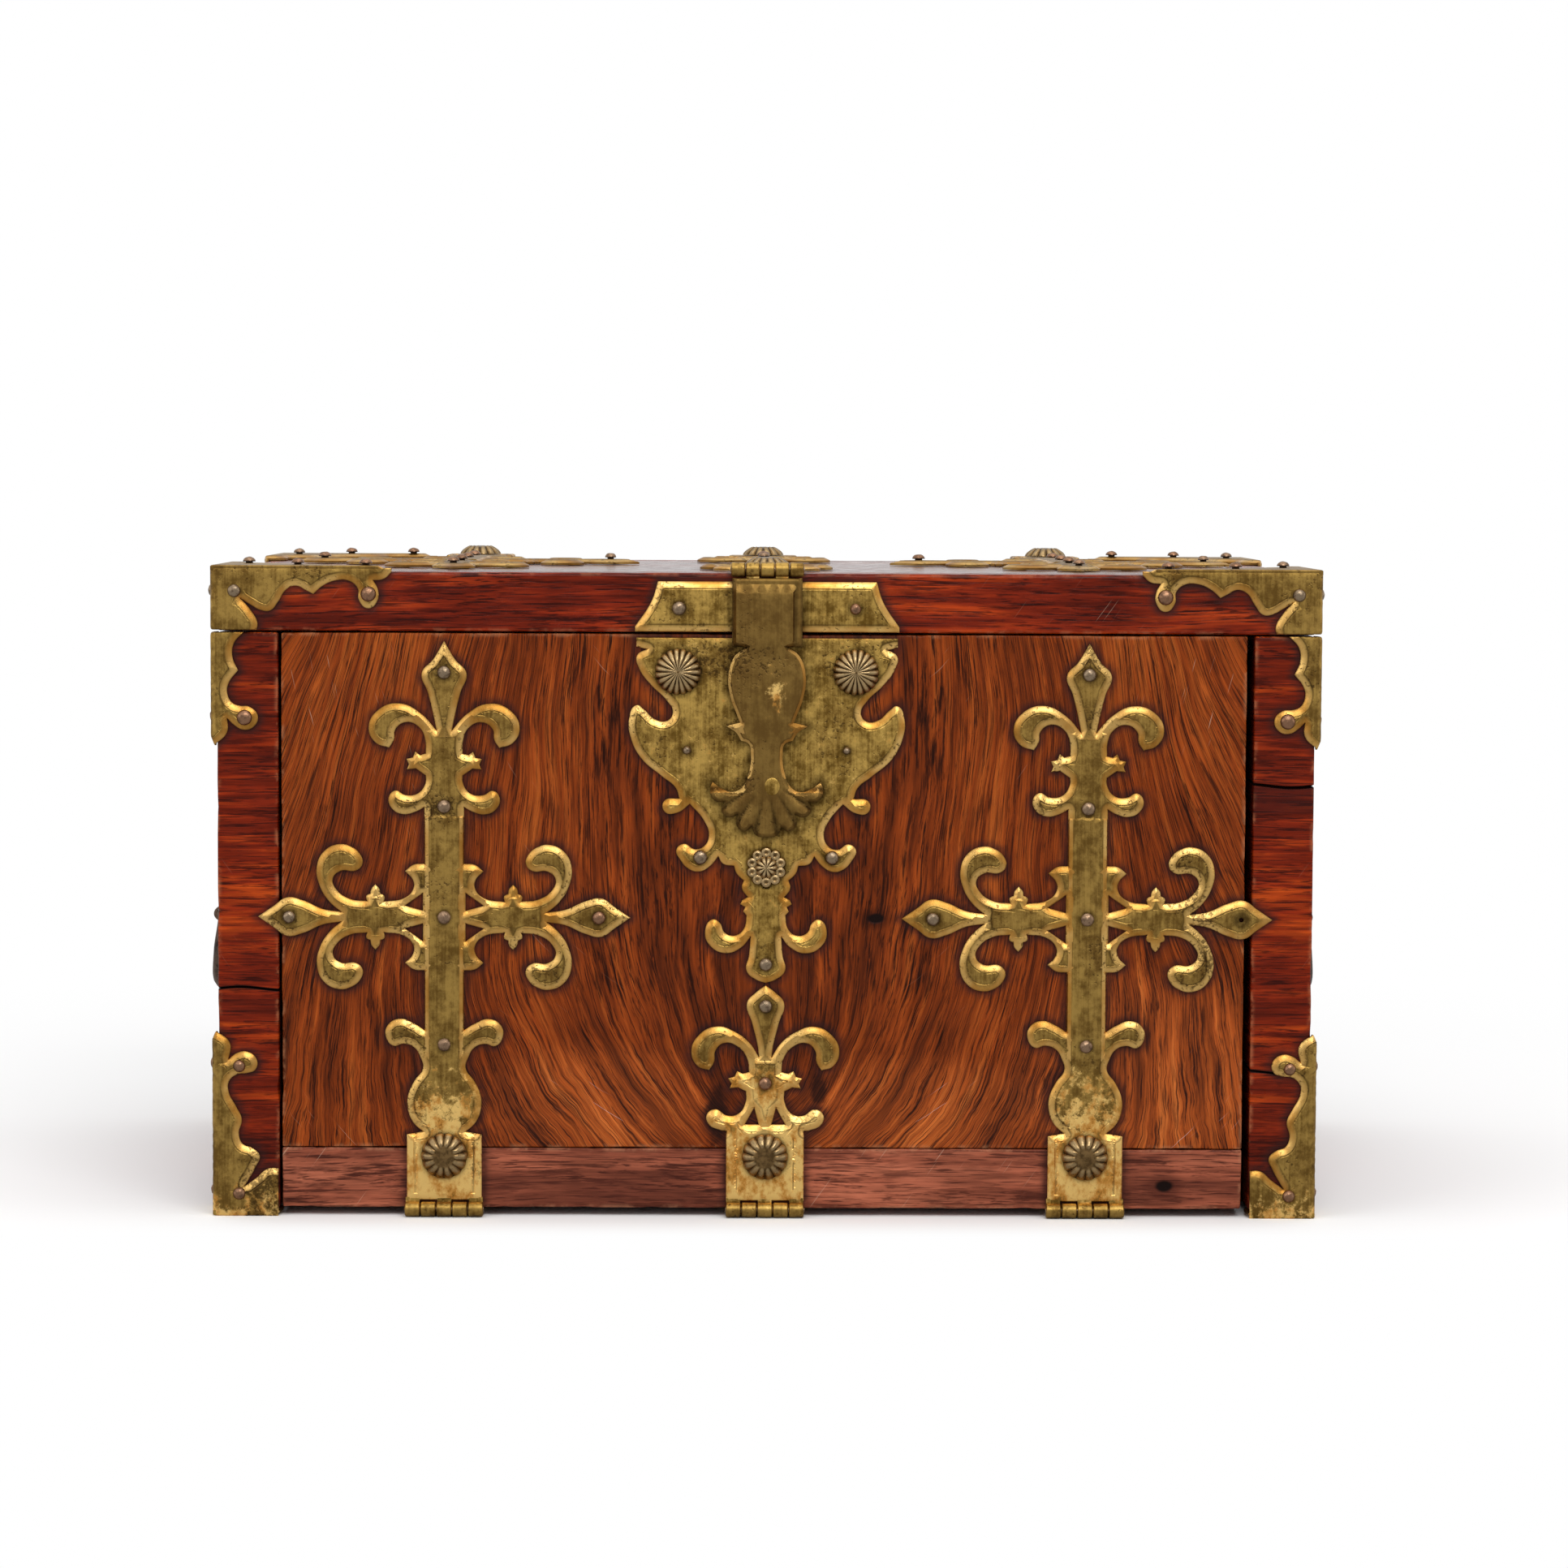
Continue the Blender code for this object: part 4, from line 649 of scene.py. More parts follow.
def sheet(
    points, openings=(), plain=None, bevel=BEVEL, thick=PLATE, lip=0.85, pitch=4.0, extra=None, both=(1, -1),
    rounds=(), groove=0.24
):
    """A filed brass sheet: a bevel rising to a scribed line inside its edge, then a flat. plain picks, from the middle
    of a piece of the outline, edges that are only softened. Gives points (u, v, h), faces, each point's distance from
    the edge, and the outline."""
    loops = [traced(points)]
    for opening in openings:
        for side in both:
            loops.append(traced([(u * side, v, kind) for u, v, kind in opening], 1.2))
    for i, loop in enumerate(loops):
        turn = (loop[:, 0] * np.roll(loop[:, 1], -1) - np.roll(loop[:, 0], -1) * loop[:, 1]).sum()
        if (turn < 0) == (i == 0):
            loops[i] = loop[::-1]
    starts = np.concatenate(loops)
    ends = np.concatenate([np.roll(loop, -1, axis=0) for loop in loops])
    middles = (starts + ends) / 2
    soft_only = np.array([bool(plain and plain(u, v)) for u, v in middles])
    filed = ~soft_only

    def distance(spots):
        far = np.full(len(spots), 50.0)
        return (
            off_line(spots, starts[filed], ends[filed]) if filed.any() else far,
            off_line(spots, starts[soft_only], ends[soft_only]) if soft_only.any() else far,
        )

    def kept(spots):
        good = within(spots, loops[0])
        for loop in loops[1:]:
            good &= ~within(spots, loop)
        return spots[good]

    rings = []
    for loop in loops:
        way = np.roll(loop, -1, axis=0) - np.roll(loop, 1, axis=0)
        normal = np.stack([-way[:, 1], way[:, 0]], 1)
        normal /= np.maximum(np.linalg.norm(normal, axis=1), 1e-9)[:, None]
        for depth in (0.4, bevel * 0.55, bevel, bevel + 0.35, bevel + 0.8):
            ring = kept(loop + normal * depth)
            near = np.minimum(*distance(ring))
            rings.append(ring[near > depth * 0.96])
    low, high = loops[0].min(0), loops[0].max(0)
    u, v = np.meshgrid(np.arange(low[0] + pitch / 2, high[0], pitch), np.arange(low[1] + pitch / 2, high[1], pitch))
    grid = kept(np.stack([u.ravel(), v.ravel()], 1))
    grid = grid[np.minimum(*distance(grid)) > bevel + 1.4]
    for cu, cv, radius in rounds:
        for depth in (-0.4, 0.3, 1.0, 2.0):
            turn = np.arange(0, 2 * math.pi, 0.9 / (radius + depth))
            rings.append(
                kept(np.stack([cu + (radius + depth) * np.cos(turn), cv + (radius + depth) * np.sin(turn)], 1))
            )
    inner = np.concatenate(rings + [grid] + ([kept(np.array(extra))] if extra is not None else []))
    _, first = np.unique(np.round(inner / 0.45).astype(int), axis=0, return_index=True)
    inner = inner[np.sort(first)]
    edges, count = [], 0
    for loop in loops:
        edges += [(count + i, count + (i + 1) % len(loop)) for i in range(len(loop))]
        count += len(loop)
    flat = np.concatenate([starts, inner])
    result = geometry.delaunay_2d_cdt([Vector(p) for p in flat], edges, [], 1, 1e-5)
    spots, faces = np.array([(p.x, p.y) for p in result[0]]), result[2]
    holes = loops[1:]
    if holes:
        centres = np.array([spots[list(f)].mean(0) for f in faces])
        hollow = np.zeros(len(faces), bool)
        for loop in holes:
            hollow |= within(centres, loop)
        faces = [f for f, gone in zip(faces, hollow) if not gone]
    rim, soft = distance(spots)
    height = np.interp(
        rim, [0.0, 0.35, bevel, bevel + 0.3, bevel + 0.75, 60.0],
        [lip, lip + 0.3, thick - groove / 4, thick - groove, thick, thick]
    )
    height -= np.where(soft < 0.9, 0.55 * (1 - soft / 0.9) ** 2, 0.0)
    facing = {}
    for a, b, c in faces:
        for pair in ((a, b), (b, c), (c, a)):
            facing[pair] = True
    outer = [pair for pair in facing if (pair[1], pair[0]) not in facing]
    size = len(spots)
    top = np.column_stack([spots, height])
    under = np.column_stack([spots, np.zeros(size)])
    solid = [tuple(f) for f in faces] + [tuple(i + size for i in reversed(f)) for f in faces]
    solid += [(b, a, a + size, b + size) for a, b in outer]
    return np.concatenate([top, under]), solid, np.concatenate([rim, rim]), starts


def flat_on(origin, u, v, w):
    """Lays a sheet's own axes along these directions from the origin, in millimetres."""
    turn = np.array([u, v, w], float)

    def place(co):
        return np.array(origin) + co @ turn
    return place


def skin(rows, sides):
    """Faces over rows of points round one axis, closed at both ends."""
    faces = []
    for k in range(rows - 1):
        for i in range(sides):
            j = (i + 1) % sides
            faces.append((k * sides + i, k * sides + j, (k + 1) * sides + j, (k + 1) * sides + i))
    return faces + [tuple(reversed(range(sides))), tuple(range((rows - 1) * sides, rows * sides))]


def seated(line):
    """An outline at the height of a sheet's underside."""
    return np.column_stack([line, np.zeros(len(line))])


def lathe(profile, sides=20):
    """Turned work: (radius, height) pairs spun round the third axis."""
    co = []
    for r, h in profile:
        for i in range(sides):
            angle = 2 * math.pi * i / sides
            co.append((r * math.cos(angle), r * math.sin(angle), h))
    return np.array(co), skin(len(profile), sides)


def block(x, y, z):
    co = np.array([(a, b, c) for a in x for b in y for c in z])
    return co, [(0, 1, 3, 2), (4, 6, 7, 5), (0, 4, 5, 1), (2, 3, 7, 6), (0, 2, 6, 4), (1, 5, 7, 3)]


def gathered(name, parts, angle=22.0):
    """One object from (points in millimetres, faces, {attribute: values}) parts, each already in place."""
    co, faces, held, count = [], [], {}, 0
    keys = {key for part in parts for key in part[2]}
    for points, polygons, values in parts:
        points = np.asarray(points)
        co.append(points)
        faces += [tuple(i + count for i in f) for f in polygons]
        for key in keys:
            value = values.get(key, 0.0)
            held.setdefault(key, []).append(np.broadcast_to(np.asarray(value, float), (len(points),)))
        count += len(points)
    mesh = bpy.data.meshes.new(name)
    mesh.from_pydata((np.concatenate(co) * MM).tolist(), [], faces)
    for key in keys:
        attribute(mesh, key, np.concatenate(held[key]))
    piece = placed(name, mesh)
    face_out()
    bpy.ops.object.shade_smooth_by_angle(angle=math.radians(angle))
    return piece


def knuckles(x, y, z, length, first, count=5, radius=KNUCKLE_R):
    """Every other barrel of a hinge along X, starting with number first, with softened ends."""
    parts = []
    pitch = length / count
    for i in range(first, count, 2):
        half = pitch / 2 - 0.15
        co, faces = lathe(
            [(radius - 0.5, -half), (radius, -half + 0.4), (radius, half - 0.4), (radius - 0.5, half)], 22
        )
        middle = x - length / 2 + (i + 0.5) * pitch
        parts.append(
            (
                np.column_stack([co[:, 2] + middle, co[:, 0] + y, co[:, 1] + z]), faces,
                {"rim": 4.0, "gilt": 0.2, "tarnish": 0.5}
            )
        )
    return parts


def fingers(x, length, first, y, z, count=5):
    parts = []
    pitch = length / count
    for i in range(first, count, 2):
        middle = x - length / 2 + (i + 0.5) * pitch
        co, faces = block((middle - pitch / 2 + 0.4, middle + pitch / 2 - 0.4), y, z)
        parts.append((co, faces, {"rim": 5.0, "gilt": 0.4}))
    return parts


def rosette(radius=ROSETTE_R, rise=ROSETTE_RISE, petals=14, core=0.40, crown=0.0):
    """A cast boss with gadroons fanned round a dome. The attribute rim is 0 on their ridges and 6 in the hollows."""
    shares = [1.0, 0.985, 0.95, 0.88, 0.78, 0.66, 0.54, core, core * 0.8, core * 0.55, core * 0.25, 0.02]
    sides = petals * 6
    co, values = [], []
    for k, share in enumerate(shares):
        dome = rise * (1 - share ** 2.4) ** 0.75 * (0.86 if share <= core else 1.0)
        if k == 0:
            dome = 0.0
        ribbed = max(
            0.0, min(1.0, (share - core * crown) / (1 - core * crown))
        ) if share > core * (crown or 1.0) else 0.0
        for i in range(sides):
            angle = 2 * math.pi * i / sides
            lobe = abs(math.cos(petals * angle / 2)) ** 0.8
            r = radius * share * (1 + (0.035 * (lobe - 0.5) if k < 4 else 0.0))
            h = dome + (0.75 * ribbed ** 0.6 * (lobe - 0.75) if k else 0.0)
            co.append((r * math.cos(angle), r * math.sin(angle), max(h, 0.0)))
            values.append(6.0 * (1 - lobe) if ribbed > 0 and k else 3.6)
    return np.array(co), skin(len(shares), sides), np.array(values)


def nail_heads(name, spots, place, size=NAIL_R, proud=0.0):
    """Domed nail heads at (u, v) spots on a laid sheet, each a little turned, dented and tinted its own way. proud is
    how far their shanks stand out."""
    parts = []
    for i, (u, v, *more) in enumerate(spots):
        r = (more[0] if more else size) * (1 + 0.05 * math.sin(7.1 * i + u))
        tint = more[1] if len(more) > 1 else 0.25 + 0.25 * math.sin(12.9898 * (i + 1) + 0.37 * u + 0.73 * v)
        dome = [(r * 1.04, -0.3), (r, 0.15), (r * 0.93, 0.62), (r * 0.68, 1.22), (r * 0.34, 1.55), (r * 0.06, 1.62)]
        if proud:
            dome = [(r * 0.6, -0.3), (r * 0.6, proud - 0.3)] + [(a, b + proud) for a, b in dome]
            tint = 0.5 + 0.5 * tint
        co, faces = lathe(dome, 16)
        rim = np.interp(co[:, 2], [proud - 0.3, proud + 0.5, proud + 1.6], [0.0, 2.5, 6.0])
        co[:, 2] += 0.10 * np.sin(2.1 * co[:, 0] + i) * np.cos(1.7 * co[:, 1] + u)
        co += np.array([u, v, PLATE])
        parts.append((place(co), faces, {"rim": rim, "tint": tint}))
    return gathered(name, parts, 50.0)


# Old brass shared by every mount: bright filed bevel, dark scribed line, olive-brown tarnish on the flat, and gilt
# where it lasts.
old_brass = new_group(
    "old_brass", {"Vector": "Vector", "Rim": "Float", "Gilt": "Float", "Soot": "Float", "Tarnish": "Float"},
    {"Color": "Color", "Roughness": "Float", "Height": "Float"},
)
tree = old_brass
start = tree.nodes.new("NodeGroupInput").outputs
mottle = cloud(tree, scaled(tree, start["Vector"], even(230.0)), 6.0, 0.7)
blotch = cloud(tree, scaled(tree, start["Vector"], even(42.0)), 3.0)
freckle = cloud(tree, scaled(tree, start["Vector"], even(720.0)), 2.0)
ragged = plus(tree, start["Rim"], times(tree, less(tree, mottle, 0.5), 1.5))
filed = times(tree, span(tree, ragged, 1.1, 3.3, 1.0, 0.0), less(tree, 1.0, times(tree, start["Tarnish"], 0.4)))
filed = times(tree, filed, span(tree, blotch, 0.32, 0.56, 0.55, 1.0))
scribed = times(tree, span(tree, start["Rim"], 2.4, 2.8), span(tree, start["Rim"], 2.9, 3.6, 1.0, 0.0))
lip = span(tree, start["Rim"], 0.0, 0.5, 1.0, 0.0)
brushed = cloud(tree, scaled(tree, start["Vector"], (950.0, 950.0, 34.0)), 3.0, 0.6)
cast = cloud(tree, scaled(tree, start["Vector"], (95.0, 95.0, 60.0)), 4.0, 0.6)
shade = plus(tree, times(tree, cast, 0.36), plus(tree, times(tree, brushed, 0.20), times(tree, mottle, 0.44)))
colour = mixed(tree, span(tree, shade, 0.40, 0.60), srgb(114, 85, 34), srgb(206, 168, 88))
colour = mixed(tree, span(tree, blotch, 0.50, 0.74, 0.0, 0.30), colour, srgb(116, 84, 44))
gilded = span(tree, plus(tree, start["Gilt"], times(tree, less(tree, mottle, 0.5), 1.6)), 0.38, 0.62)
colour = mixed(tree, times(tree, start["Tarnish"], 0.75), colour, srgb(112, 84, 44))
drawn = cloud(tree, scaled(tree, start["Vector"], (150.0, 150.0, 105.0)), 6.0, 0.7)
gold = mixed(tree, span(tree, drawn, 0.40, 0.58), srgb(214, 148, 66), srgb(255, 212, 128))
colour = mixed(tree, times(tree, gilded, span(tree, drawn, 0.34, 0.44, 0.2, 1.0)), colour, gold)
bright = mixed(tree, span(tree, blotch, 0.38, 0.62), srgb(204, 138, 56), srgb(238, 194, 116))
bright = mixed(tree, span(tree, mottle, 0.56, 0.72, 0.0, 0.6), bright, srgb(128, 90, 42))
colour = mixed(tree, filed, colour, bright)
colour = mixed(tree, times(tree, scribed, span(tree, blotch, 0.35, 0.65, 0.15, 0.70)), colour, srgb(66, 48, 24))
specks = span(tree, plus(tree, freckle, times(tree, less(tree, blotch, 0.5), 0.9)), 0.62, 0.80)
colour = mixed(tree, times(tree, specks, span(tree, gilded, 0.0, 1.0, 0.7, 0.4)), colour, srgb(58, 40, 22))
colour = mixed(tree, times(tree, lip, 0.45), colour, srgb(70, 50, 26))
# Soot darkens round nail heads, bosses and the hasp: painted shade, with some dirt.
colour = mixed(tree, times(tree, start["Soot"], span(tree, mottle, 0.3, 0.7, 0.95, 0.6)), colour, srgb(36, 25, 13))
rough = plus(tree, span(tree, filed, 0.0, 1.0, 0.36, 0.24), times(tree, mottle, 0.14))
height = less(tree, times(tree, mottle, 0.8), times(tree, specks, 0.7))
end = tree.nodes.new("NodeGroupOutput")
tree.links.new(colour, end.inputs["Color"])
tree.links.new(rough, end.inputs["Roughness"])
tree.links.new(height, end.inputs["Height"])


def metal(name, colours):
    """A metal whose colour, roughness and height come from colours(tree, coords, rim)."""
    material, tree, shader = new_material(name)
    coords = add(tree, "TexCoord").outputs["Object"]
    rim = painted(tree, "rim")
    colour, rough, height = colours(tree, coords, rim)
    bump = add(tree, "Bump", {"Strength": 0.30, "Distance": 0.0005, "Height": height})
    tree.links.new(colour, shader.inputs["Base Color"])
    tree.links.new(rough, shader.inputs["Roughness"])
    tree.links.new(bump.outputs["Normal"], shader.inputs["Normal"])
    shader.inputs["Metallic"].default_value = 1.0
    return material


def brass_colours(tree, coords, rim):
    inputs = {"Vector": coords, "Rim": rim}
    for key in ("Gilt", "Soot", "Tarnish"):
        inputs[key] = painted(tree, key.lower())
    group = add(tree, "Group", inputs, node_tree=old_brass)
    return group.outputs["Color"], group.outputs["Roughness"], group.outputs["Height"]


def boss_colours(tree, coords, rim):
    rub = cloud(tree, scaled(tree, coords, even(420.0)), 4.0, 0.65)
    bright = painted(tree, "gilt")
    colour = mixed(tree, span(tree, rub, 0.35, 0.65), srgb(92, 70, 42), srgb(132, 104, 66))
    ridge = times(tree, span(tree, rim, 0.6, 3.2, 0.95, 0.0), span(tree, bright, 0.0, 1.0, 0.45, 1.0))
    colour = mixed(tree, ridge, colour, srgb(202, 174, 128))
    colour = mixed(tree, span(tree, rim, 4.0, 5.6, 0.0, 0.85), colour, srgb(40, 29, 18))
    return colour, span(tree, rub, 0.3, 0.7, 0.22, 0.40), rub


def nail_colours(tree, coords, rim):
    tint = painted(tree, "tint")
    rub = cloud(tree, scaled(tree, coords, even(520.0)), 4.0, 0.65)
    colour = mixed(tree, span(tree, tint, 0.35, 0.65), srgb(150, 130, 106), srgb(150, 112, 86))
    colour = mixed(tree, span(tree, rub, 0.45, 0.68, 0.0, 0.7), colour, srgb(84, 66, 52))
    # The foot of each head is painted near black: painted shade where the dome meets the plate.
    colour = mixed(tree, span(tree, rim, 0.3, 2.2, 0.95, 0.0), colour, srgb(26, 18, 14))
    return colour, span(tree, rub, 0.3, 0.7, 0.26, 0.46), rub


brass = metal("brass_mount", brass_colours)
boss_bronze = metal("bronze_rosette", boss_colours)
nail_metal = metal("nail_head", nail_colours)


def soil_and_shade(outline, *targets):
    """Dirt and painted shade on the boards along an outline given as points in millimetres."""
    line = np.asarray(outline)[::2] * MM
    low, high = line.min(0) - 0.012, line.max(0) + 0.012
    for target in targets:
        mesh = boards[target].data
        co = numbers(mesh)
        grime = np.empty(len(co), np.float32)
        mesh.attributes["grime"].data.foreach_get("value", grime)
        picked = np.nonzero(((co > low) & (co < high)).all(1))[0]
        for first in range(0, len(picked), 3000):
            some = picked[first:first + 3000]
            gap = np.sqrt(((co[some, None, :] - line[None]) ** 2).sum(2)).min(1)
            grime[some] = np.maximum(grime[some], np.exp(-((gap / (2.9 * MM)) ** 1.5)))
        attribute(mesh, "grime", grime)


FACE, ON_TOP = ((1, 0, 0), (0, 0, 1), (0, -1, 0)), ((1, 0, 0), (0, 1, 0), (0, 0, 1))
cross_points = mirrored(CROSS_HALF + [(15.1, LEAF_START - CROSS_RISE, 0)])
cross_holes = CROSS_OPENINGS + [[(u, -v, kind) for u, v, kind in hole] for hole in CROSS_OPENINGS]
square_end = lambda u, v: v < -88.0
cross_rounds = [(u, v, NAIL_R) for u, v, *_ in CROSS_NAILS] + [(0.0, ROSETTE_FROM_AXIS - CROSS_RISE, ROSETTE_R)]
short_rounds = [(u, v, NAIL_R) for u, v, *_ in SHORT_NAILS] + [(0.0, ROSETTE_FROM_AXIS, ROSETTE_R)]
stem_rows = [(side * u, v) for v in np.arange(-56.4, 41.0, 1.1) for u in (5.4, 6.6, 7.5, 7.9) for side in (-1, 1)]


def plate_rows(low, high):
    return [
        (side * u, v) for v in np.arange(low, high, 1.3) for u in (10.8, 11.25, 11.7, 12.15, 12.6) for side in (-1, 1)
    ]


CROSS_PLATE, SHORT_PLATE = (10.0 - LEAF_START - CROSS_RISE, -90.0), (8.0, 30.0)
stem_rows += plate_rows(*CROSS_PLATE)


def ridged(laid):
    """Raises the cross's stem as one bar that runs on through the arms, with its own bevels."""
    co, faces, rim, line = laid
    half = len(co) // 2
    u, v = np.abs(co[:half, 0]), co[:half, 1]
    there = (u < 7.6) & (v > -57.0) & (v < 41.0)
    bar = np.interp(u, [5.5, 7.6], [PLATE + 0.5, PLATE - 0.5])
    co[:half, 2] = np.where(there, np.maximum(co[:half, 2], bar), co[:half, 2])
    rim[:half] = np.where(there, np.where(u > 5.45, 1.0, 4.6), rim[:half])
    return plate_lines(laid, *CROSS_PLATE)


def plate_lines(laid, low, high):
    """Scribes a line down each side of the hinge plate."""
    co, faces, rim, line = laid
    half = len(co) // 2
    there = (np.abs(np.abs(co[:half, 0]) - PLATE_LINE) < 0.5) & (co[:half, 1] > low - 0.1) & (co[:half, 1] < high)
    co[:half, 2] -= np.where(there, 0.28, 0.0)
    rim[:half] = np.where(there, 2.85, rim[:half])
    return co, faces, rim, line


cross_sheet = ridged(sheet(cross_points, cross_holes, square_end, rounds=cross_rounds, extra=stem_rows))
empty_hole = [(HOLE_AT + HOLE_R * math.cos(a), HOLE_R * math.sin(a), 1) for a in np.linspace(0, 2 * math.pi, 9)[:-1]]
right_sheet = ridged(sheet(
    cross_points, [
        hole for side in (1, -1) for hole in [[(u * side, v, kind) for u, v, kind in h] for h in cross_holes]
    ] + [empty_hole],
    lambda u, v: v < -88.0 or math.hypot(u - HOLE_AT, v) < 1.5, both=(1,), rounds=cross_rounds, extra=stem_rows,
))
short_sheet = plate_lines(
    sheet(
        mirrored(SHORT_HALF), SHORT_OPENINGS, lambda u, v: v < 31.9, rounds=short_rounds,
        extra=plate_rows(*SHORT_PLATE)
    ),
    *SHORT_PLATE
)


def soot_and_shade(co, rounds=(), lines=()):
    """Dirt and painted shade in the corners round fixed things: rounds are (u, v, radius), lines are outlines."""
    soot = np.zeros(len(co))
    for u, v, radius in rounds:
        gap = np.maximum(np.hypot(co[:, 0] - u, co[:, 1] - v) - radius, 0)
        soot = np.maximum(soot, np.exp(-((gap / 0.9) ** 1.3)))
    for line in lines:
        gap = np.where(within(co[:, :2], line), 0, off_line(co[:, :2], line, np.roll(line, -1, axis=0)))
        soot = np.maximum(soot, np.exp(-((gap / 2.4) ** 1.3)))
    return soot * 0.85


def strap(name, laid, place, gilt, extra=(), rounds=(), lines=(), tarnish=0.0):
    co, faces, rim, line = laid
    values = {"rim": rim, "gilt": gilt(co), "soot": soot_and_shade(co, rounds, lines), "tarnish": tarnish}
    piece = gathered(name, [(place(co), faces, values), *extra])
    return piece, place(seated(line))


def cross_gilt(co):
    return np.interp(co[:, 1], [-112.0, -90.0, -84.0, -62.0, -46.0], [0.95, 0.95, 0.56, 0.30, 0.0])


def short_gilt(co):
    return np.interp(co[:, 1], [8.0, 34.0, 52.0, 66.0], [0.95, 0.75, 0.7, 0.1])


for side, x in (("left", -STRAP_X), ("right", STRAP_X), ("centre", 0.0)):
    short = side == "centre"
    place = flat_on((x, Y_FRONT - SEAT, FRONT_AXIS[1] + (0.0 if short else CROSS_RISE)), *FACE)
    hinge = knuckles(x, *FRONT_AXIS, HINGE_LENGTH, 0) + fingers(
        x, HINGE_LENGTH, 0, (Y_FRONT - 2.4, Y_FRONT - 0.6), (5.0, 7.9)
    )
    piece, line = strap(
        f"strap_front_{side}", short_sheet if short else right_sheet if side == "right" else cross_sheet, place,
        short_gilt if short else cross_gilt, hinge,
        short_rounds if short else cross_rounds, (), 0.5,
    )
    finish(piece, brass, "fall_front", "brass", f"front_strap_{side}")
    soil_and_shade(line, "front", "rail", *(["left"] if side == "left" else ["right"] if side == "right" else []))
    spots = SHORT_NAILS if short else [n for n in CROSS_NAILS if side == "left" or n[0] < 60]
    heads = nail_heads(f"nails_front_{side}", spots, place)
    finish(heads, nail_metal, "fall_front", "iron")
    co, faces, rim = rosette()
    boss = gathered(
        f"rosette_front_{side}",
        [(flat_on((x, Y_FRONT - 2.8, FRONT_AXIS[1] + ROSETTE_FROM_AXIS), *FACE)(co), faces, {"rim": rim})], 40.0,
    )
    finish(boss, boss_bronze, "fall_front", "brass", f"front_rosette_{side}")

# ---------------------------------------------------------------- Base leaves and their pins
# The fixed halves of the fall-front hinges: thin brass leaves screwed under the base, rolled into the other knuckles.
# Iron pins run through, with their ends peened over.
BASE_LEAF_Y, BASE_LEAF_Z, BASE_LEAF_PLATE = -134.35, 0.8, 1.7


def pin(name, x, y, z, length, body, node):
    co, faces = lathe(
        [
            (0.5, -length / 2 - 0.25), (1.1, -length / 2), (1.2, -length / 2 + 0.5), (1.2, length / 2 - 0.5),
            (1.1, length / 2), (0.5, length / 2 + 0.25)
        ],
        14
    )
    piece = gathered(
        name, [(np.column_stack([co[:, 2] + x, co[:, 0] + y, co[:, 1] + z]), faces, {"rim": 4.0, "tint": 0.2})], 50.0
    )
    finish(piece, nail_metal, body, "iron", node)


leaf_sheet = sheet(
    [
        (-15.2, 0.0, 0), (15.2, 0.0, 0), (15.2, 46.0, 1), (9.0, 49.4, 1), (0.0, 50.4, 1), (-9.0, 49.4, 1),
        (-15.2, 46.0, 1)
    ],
    plain=lambda u, v: v < 0.5, bevel=1.6, thick=BASE_LEAF_PLATE, lip=0.7, pitch=6.0,
)
for side, x in (("left", -STRAP_X), ("right", STRAP_X), ("centre", 0.0)):
    place = flat_on((x, BASE_LEAF_Y, BASE_LEAF_Z + BASE_LEAF_PLATE), (1, 0, 0), (0, 1, 0), (0, 0, -1))
    hinge = knuckles(x, *FRONT_AXIS, HINGE_LENGTH, 1) + fingers(x, HINGE_LENGTH, 1, (-136.0, -133.2), (1.0, 2.3))
    co, faces, rim, _ = leaf_sheet
    piece = gathered(f"leaf_base_{side}", [(place(co), faces, {"rim": rim}), *hinge])
    finish(piece, brass, "carcass", "brass", f"base_leaf_{side}")
    pin(f"pin_front_{side}", x, *FRONT_AXIS, HINGE_LENGTH, "carcass", f"front_pin_{side}")

# ---------------------------------------------------------------- Lock plate and keyhole cover
# A shield-shaped plate with scrolled edges ending in a pendant fleur-de-lis, two gadrooned bosses riveted on,
# a slot for the staple, and a beaded cover that swings aside from the keyhole.
LOCK_TOP, LOCK_ROSETTE, BOSS_Z = 235.2, (35.8, -13.6), 142.8
LOCK_HALF = [
    (52.6, 0.0, 0), (52.6, -3.6, 0), (48.4, -4.6, 0), (52.4, -7.2, 1), (51.4, -12.6, 1), (46.6, -19.1, 1),
    (40.4, -25.2, 1),
    (37.9, -30.0, 1), (40.0, -33.4, 1), (44.9, -33.0, 1), (49.6, -28.9, 1), (52.6, -27.2, 1), (55.5, -32.7, 1),
    (54.8, -40.4, 1), (50.6, -48.6, 1), (42.4, -55.7, 1), (36.6, -60.6, 1), (35.2, -64.8, 0), (41.4, -66.0, 1),
    (40.9, -70.4, 1), (36.1, -70.6, 1), (30.9, -67.0, 0), (25.4, -73.4, 1), (23.2, -79.3, 1), (24.8, -83.8, 1),
    (28.8, -85.4, 1), (33.2, -83.2, 1), (36.3, -85.6, 1), (34.6, -89.8, 1), (31.2, -93.4, 1), (27.0, -94.4, 1),
    (22.8, -92.2, 1), (19.4, -88.2, 0), (17.4, -91.2, 1), (13.0, -92.0, 0), (12.0, -95.0, 1), (9.0, -98.0, 0),
    (9.8, -101.0, 1), (7.4, -104.7, 0), (9.6, -106.0, 0), (10.4, -107.6, 0), (8.4, -108.8, 0), (9.2, -110.6, 0),
    (7.8, -112.2, 0),
    (9.0, -117.8, 1), (12.7, -120.4, 1),
    (16.8, -119.1, 1), (18.6, -115.3, 1), (21.6, -113.8, 1), (24.6, -118.8, 1), (22.4, -124.7, 1), (16.0, -127.5, 1),
    (10.0, -125.2, 1), (6.2, -120.8, 0), (6.8, -128.6, 1), (7.8, -134.6, 1), (4.0, -138.2, 1), (0.0, -139.6, 0),
]
LOCK_NAILS = [(32.2, -45.2, 1.5), (-32.2, -45.2, 1.7), (26.6, -88.6), (-26.6, -88.6), (0.0, -132.0)]
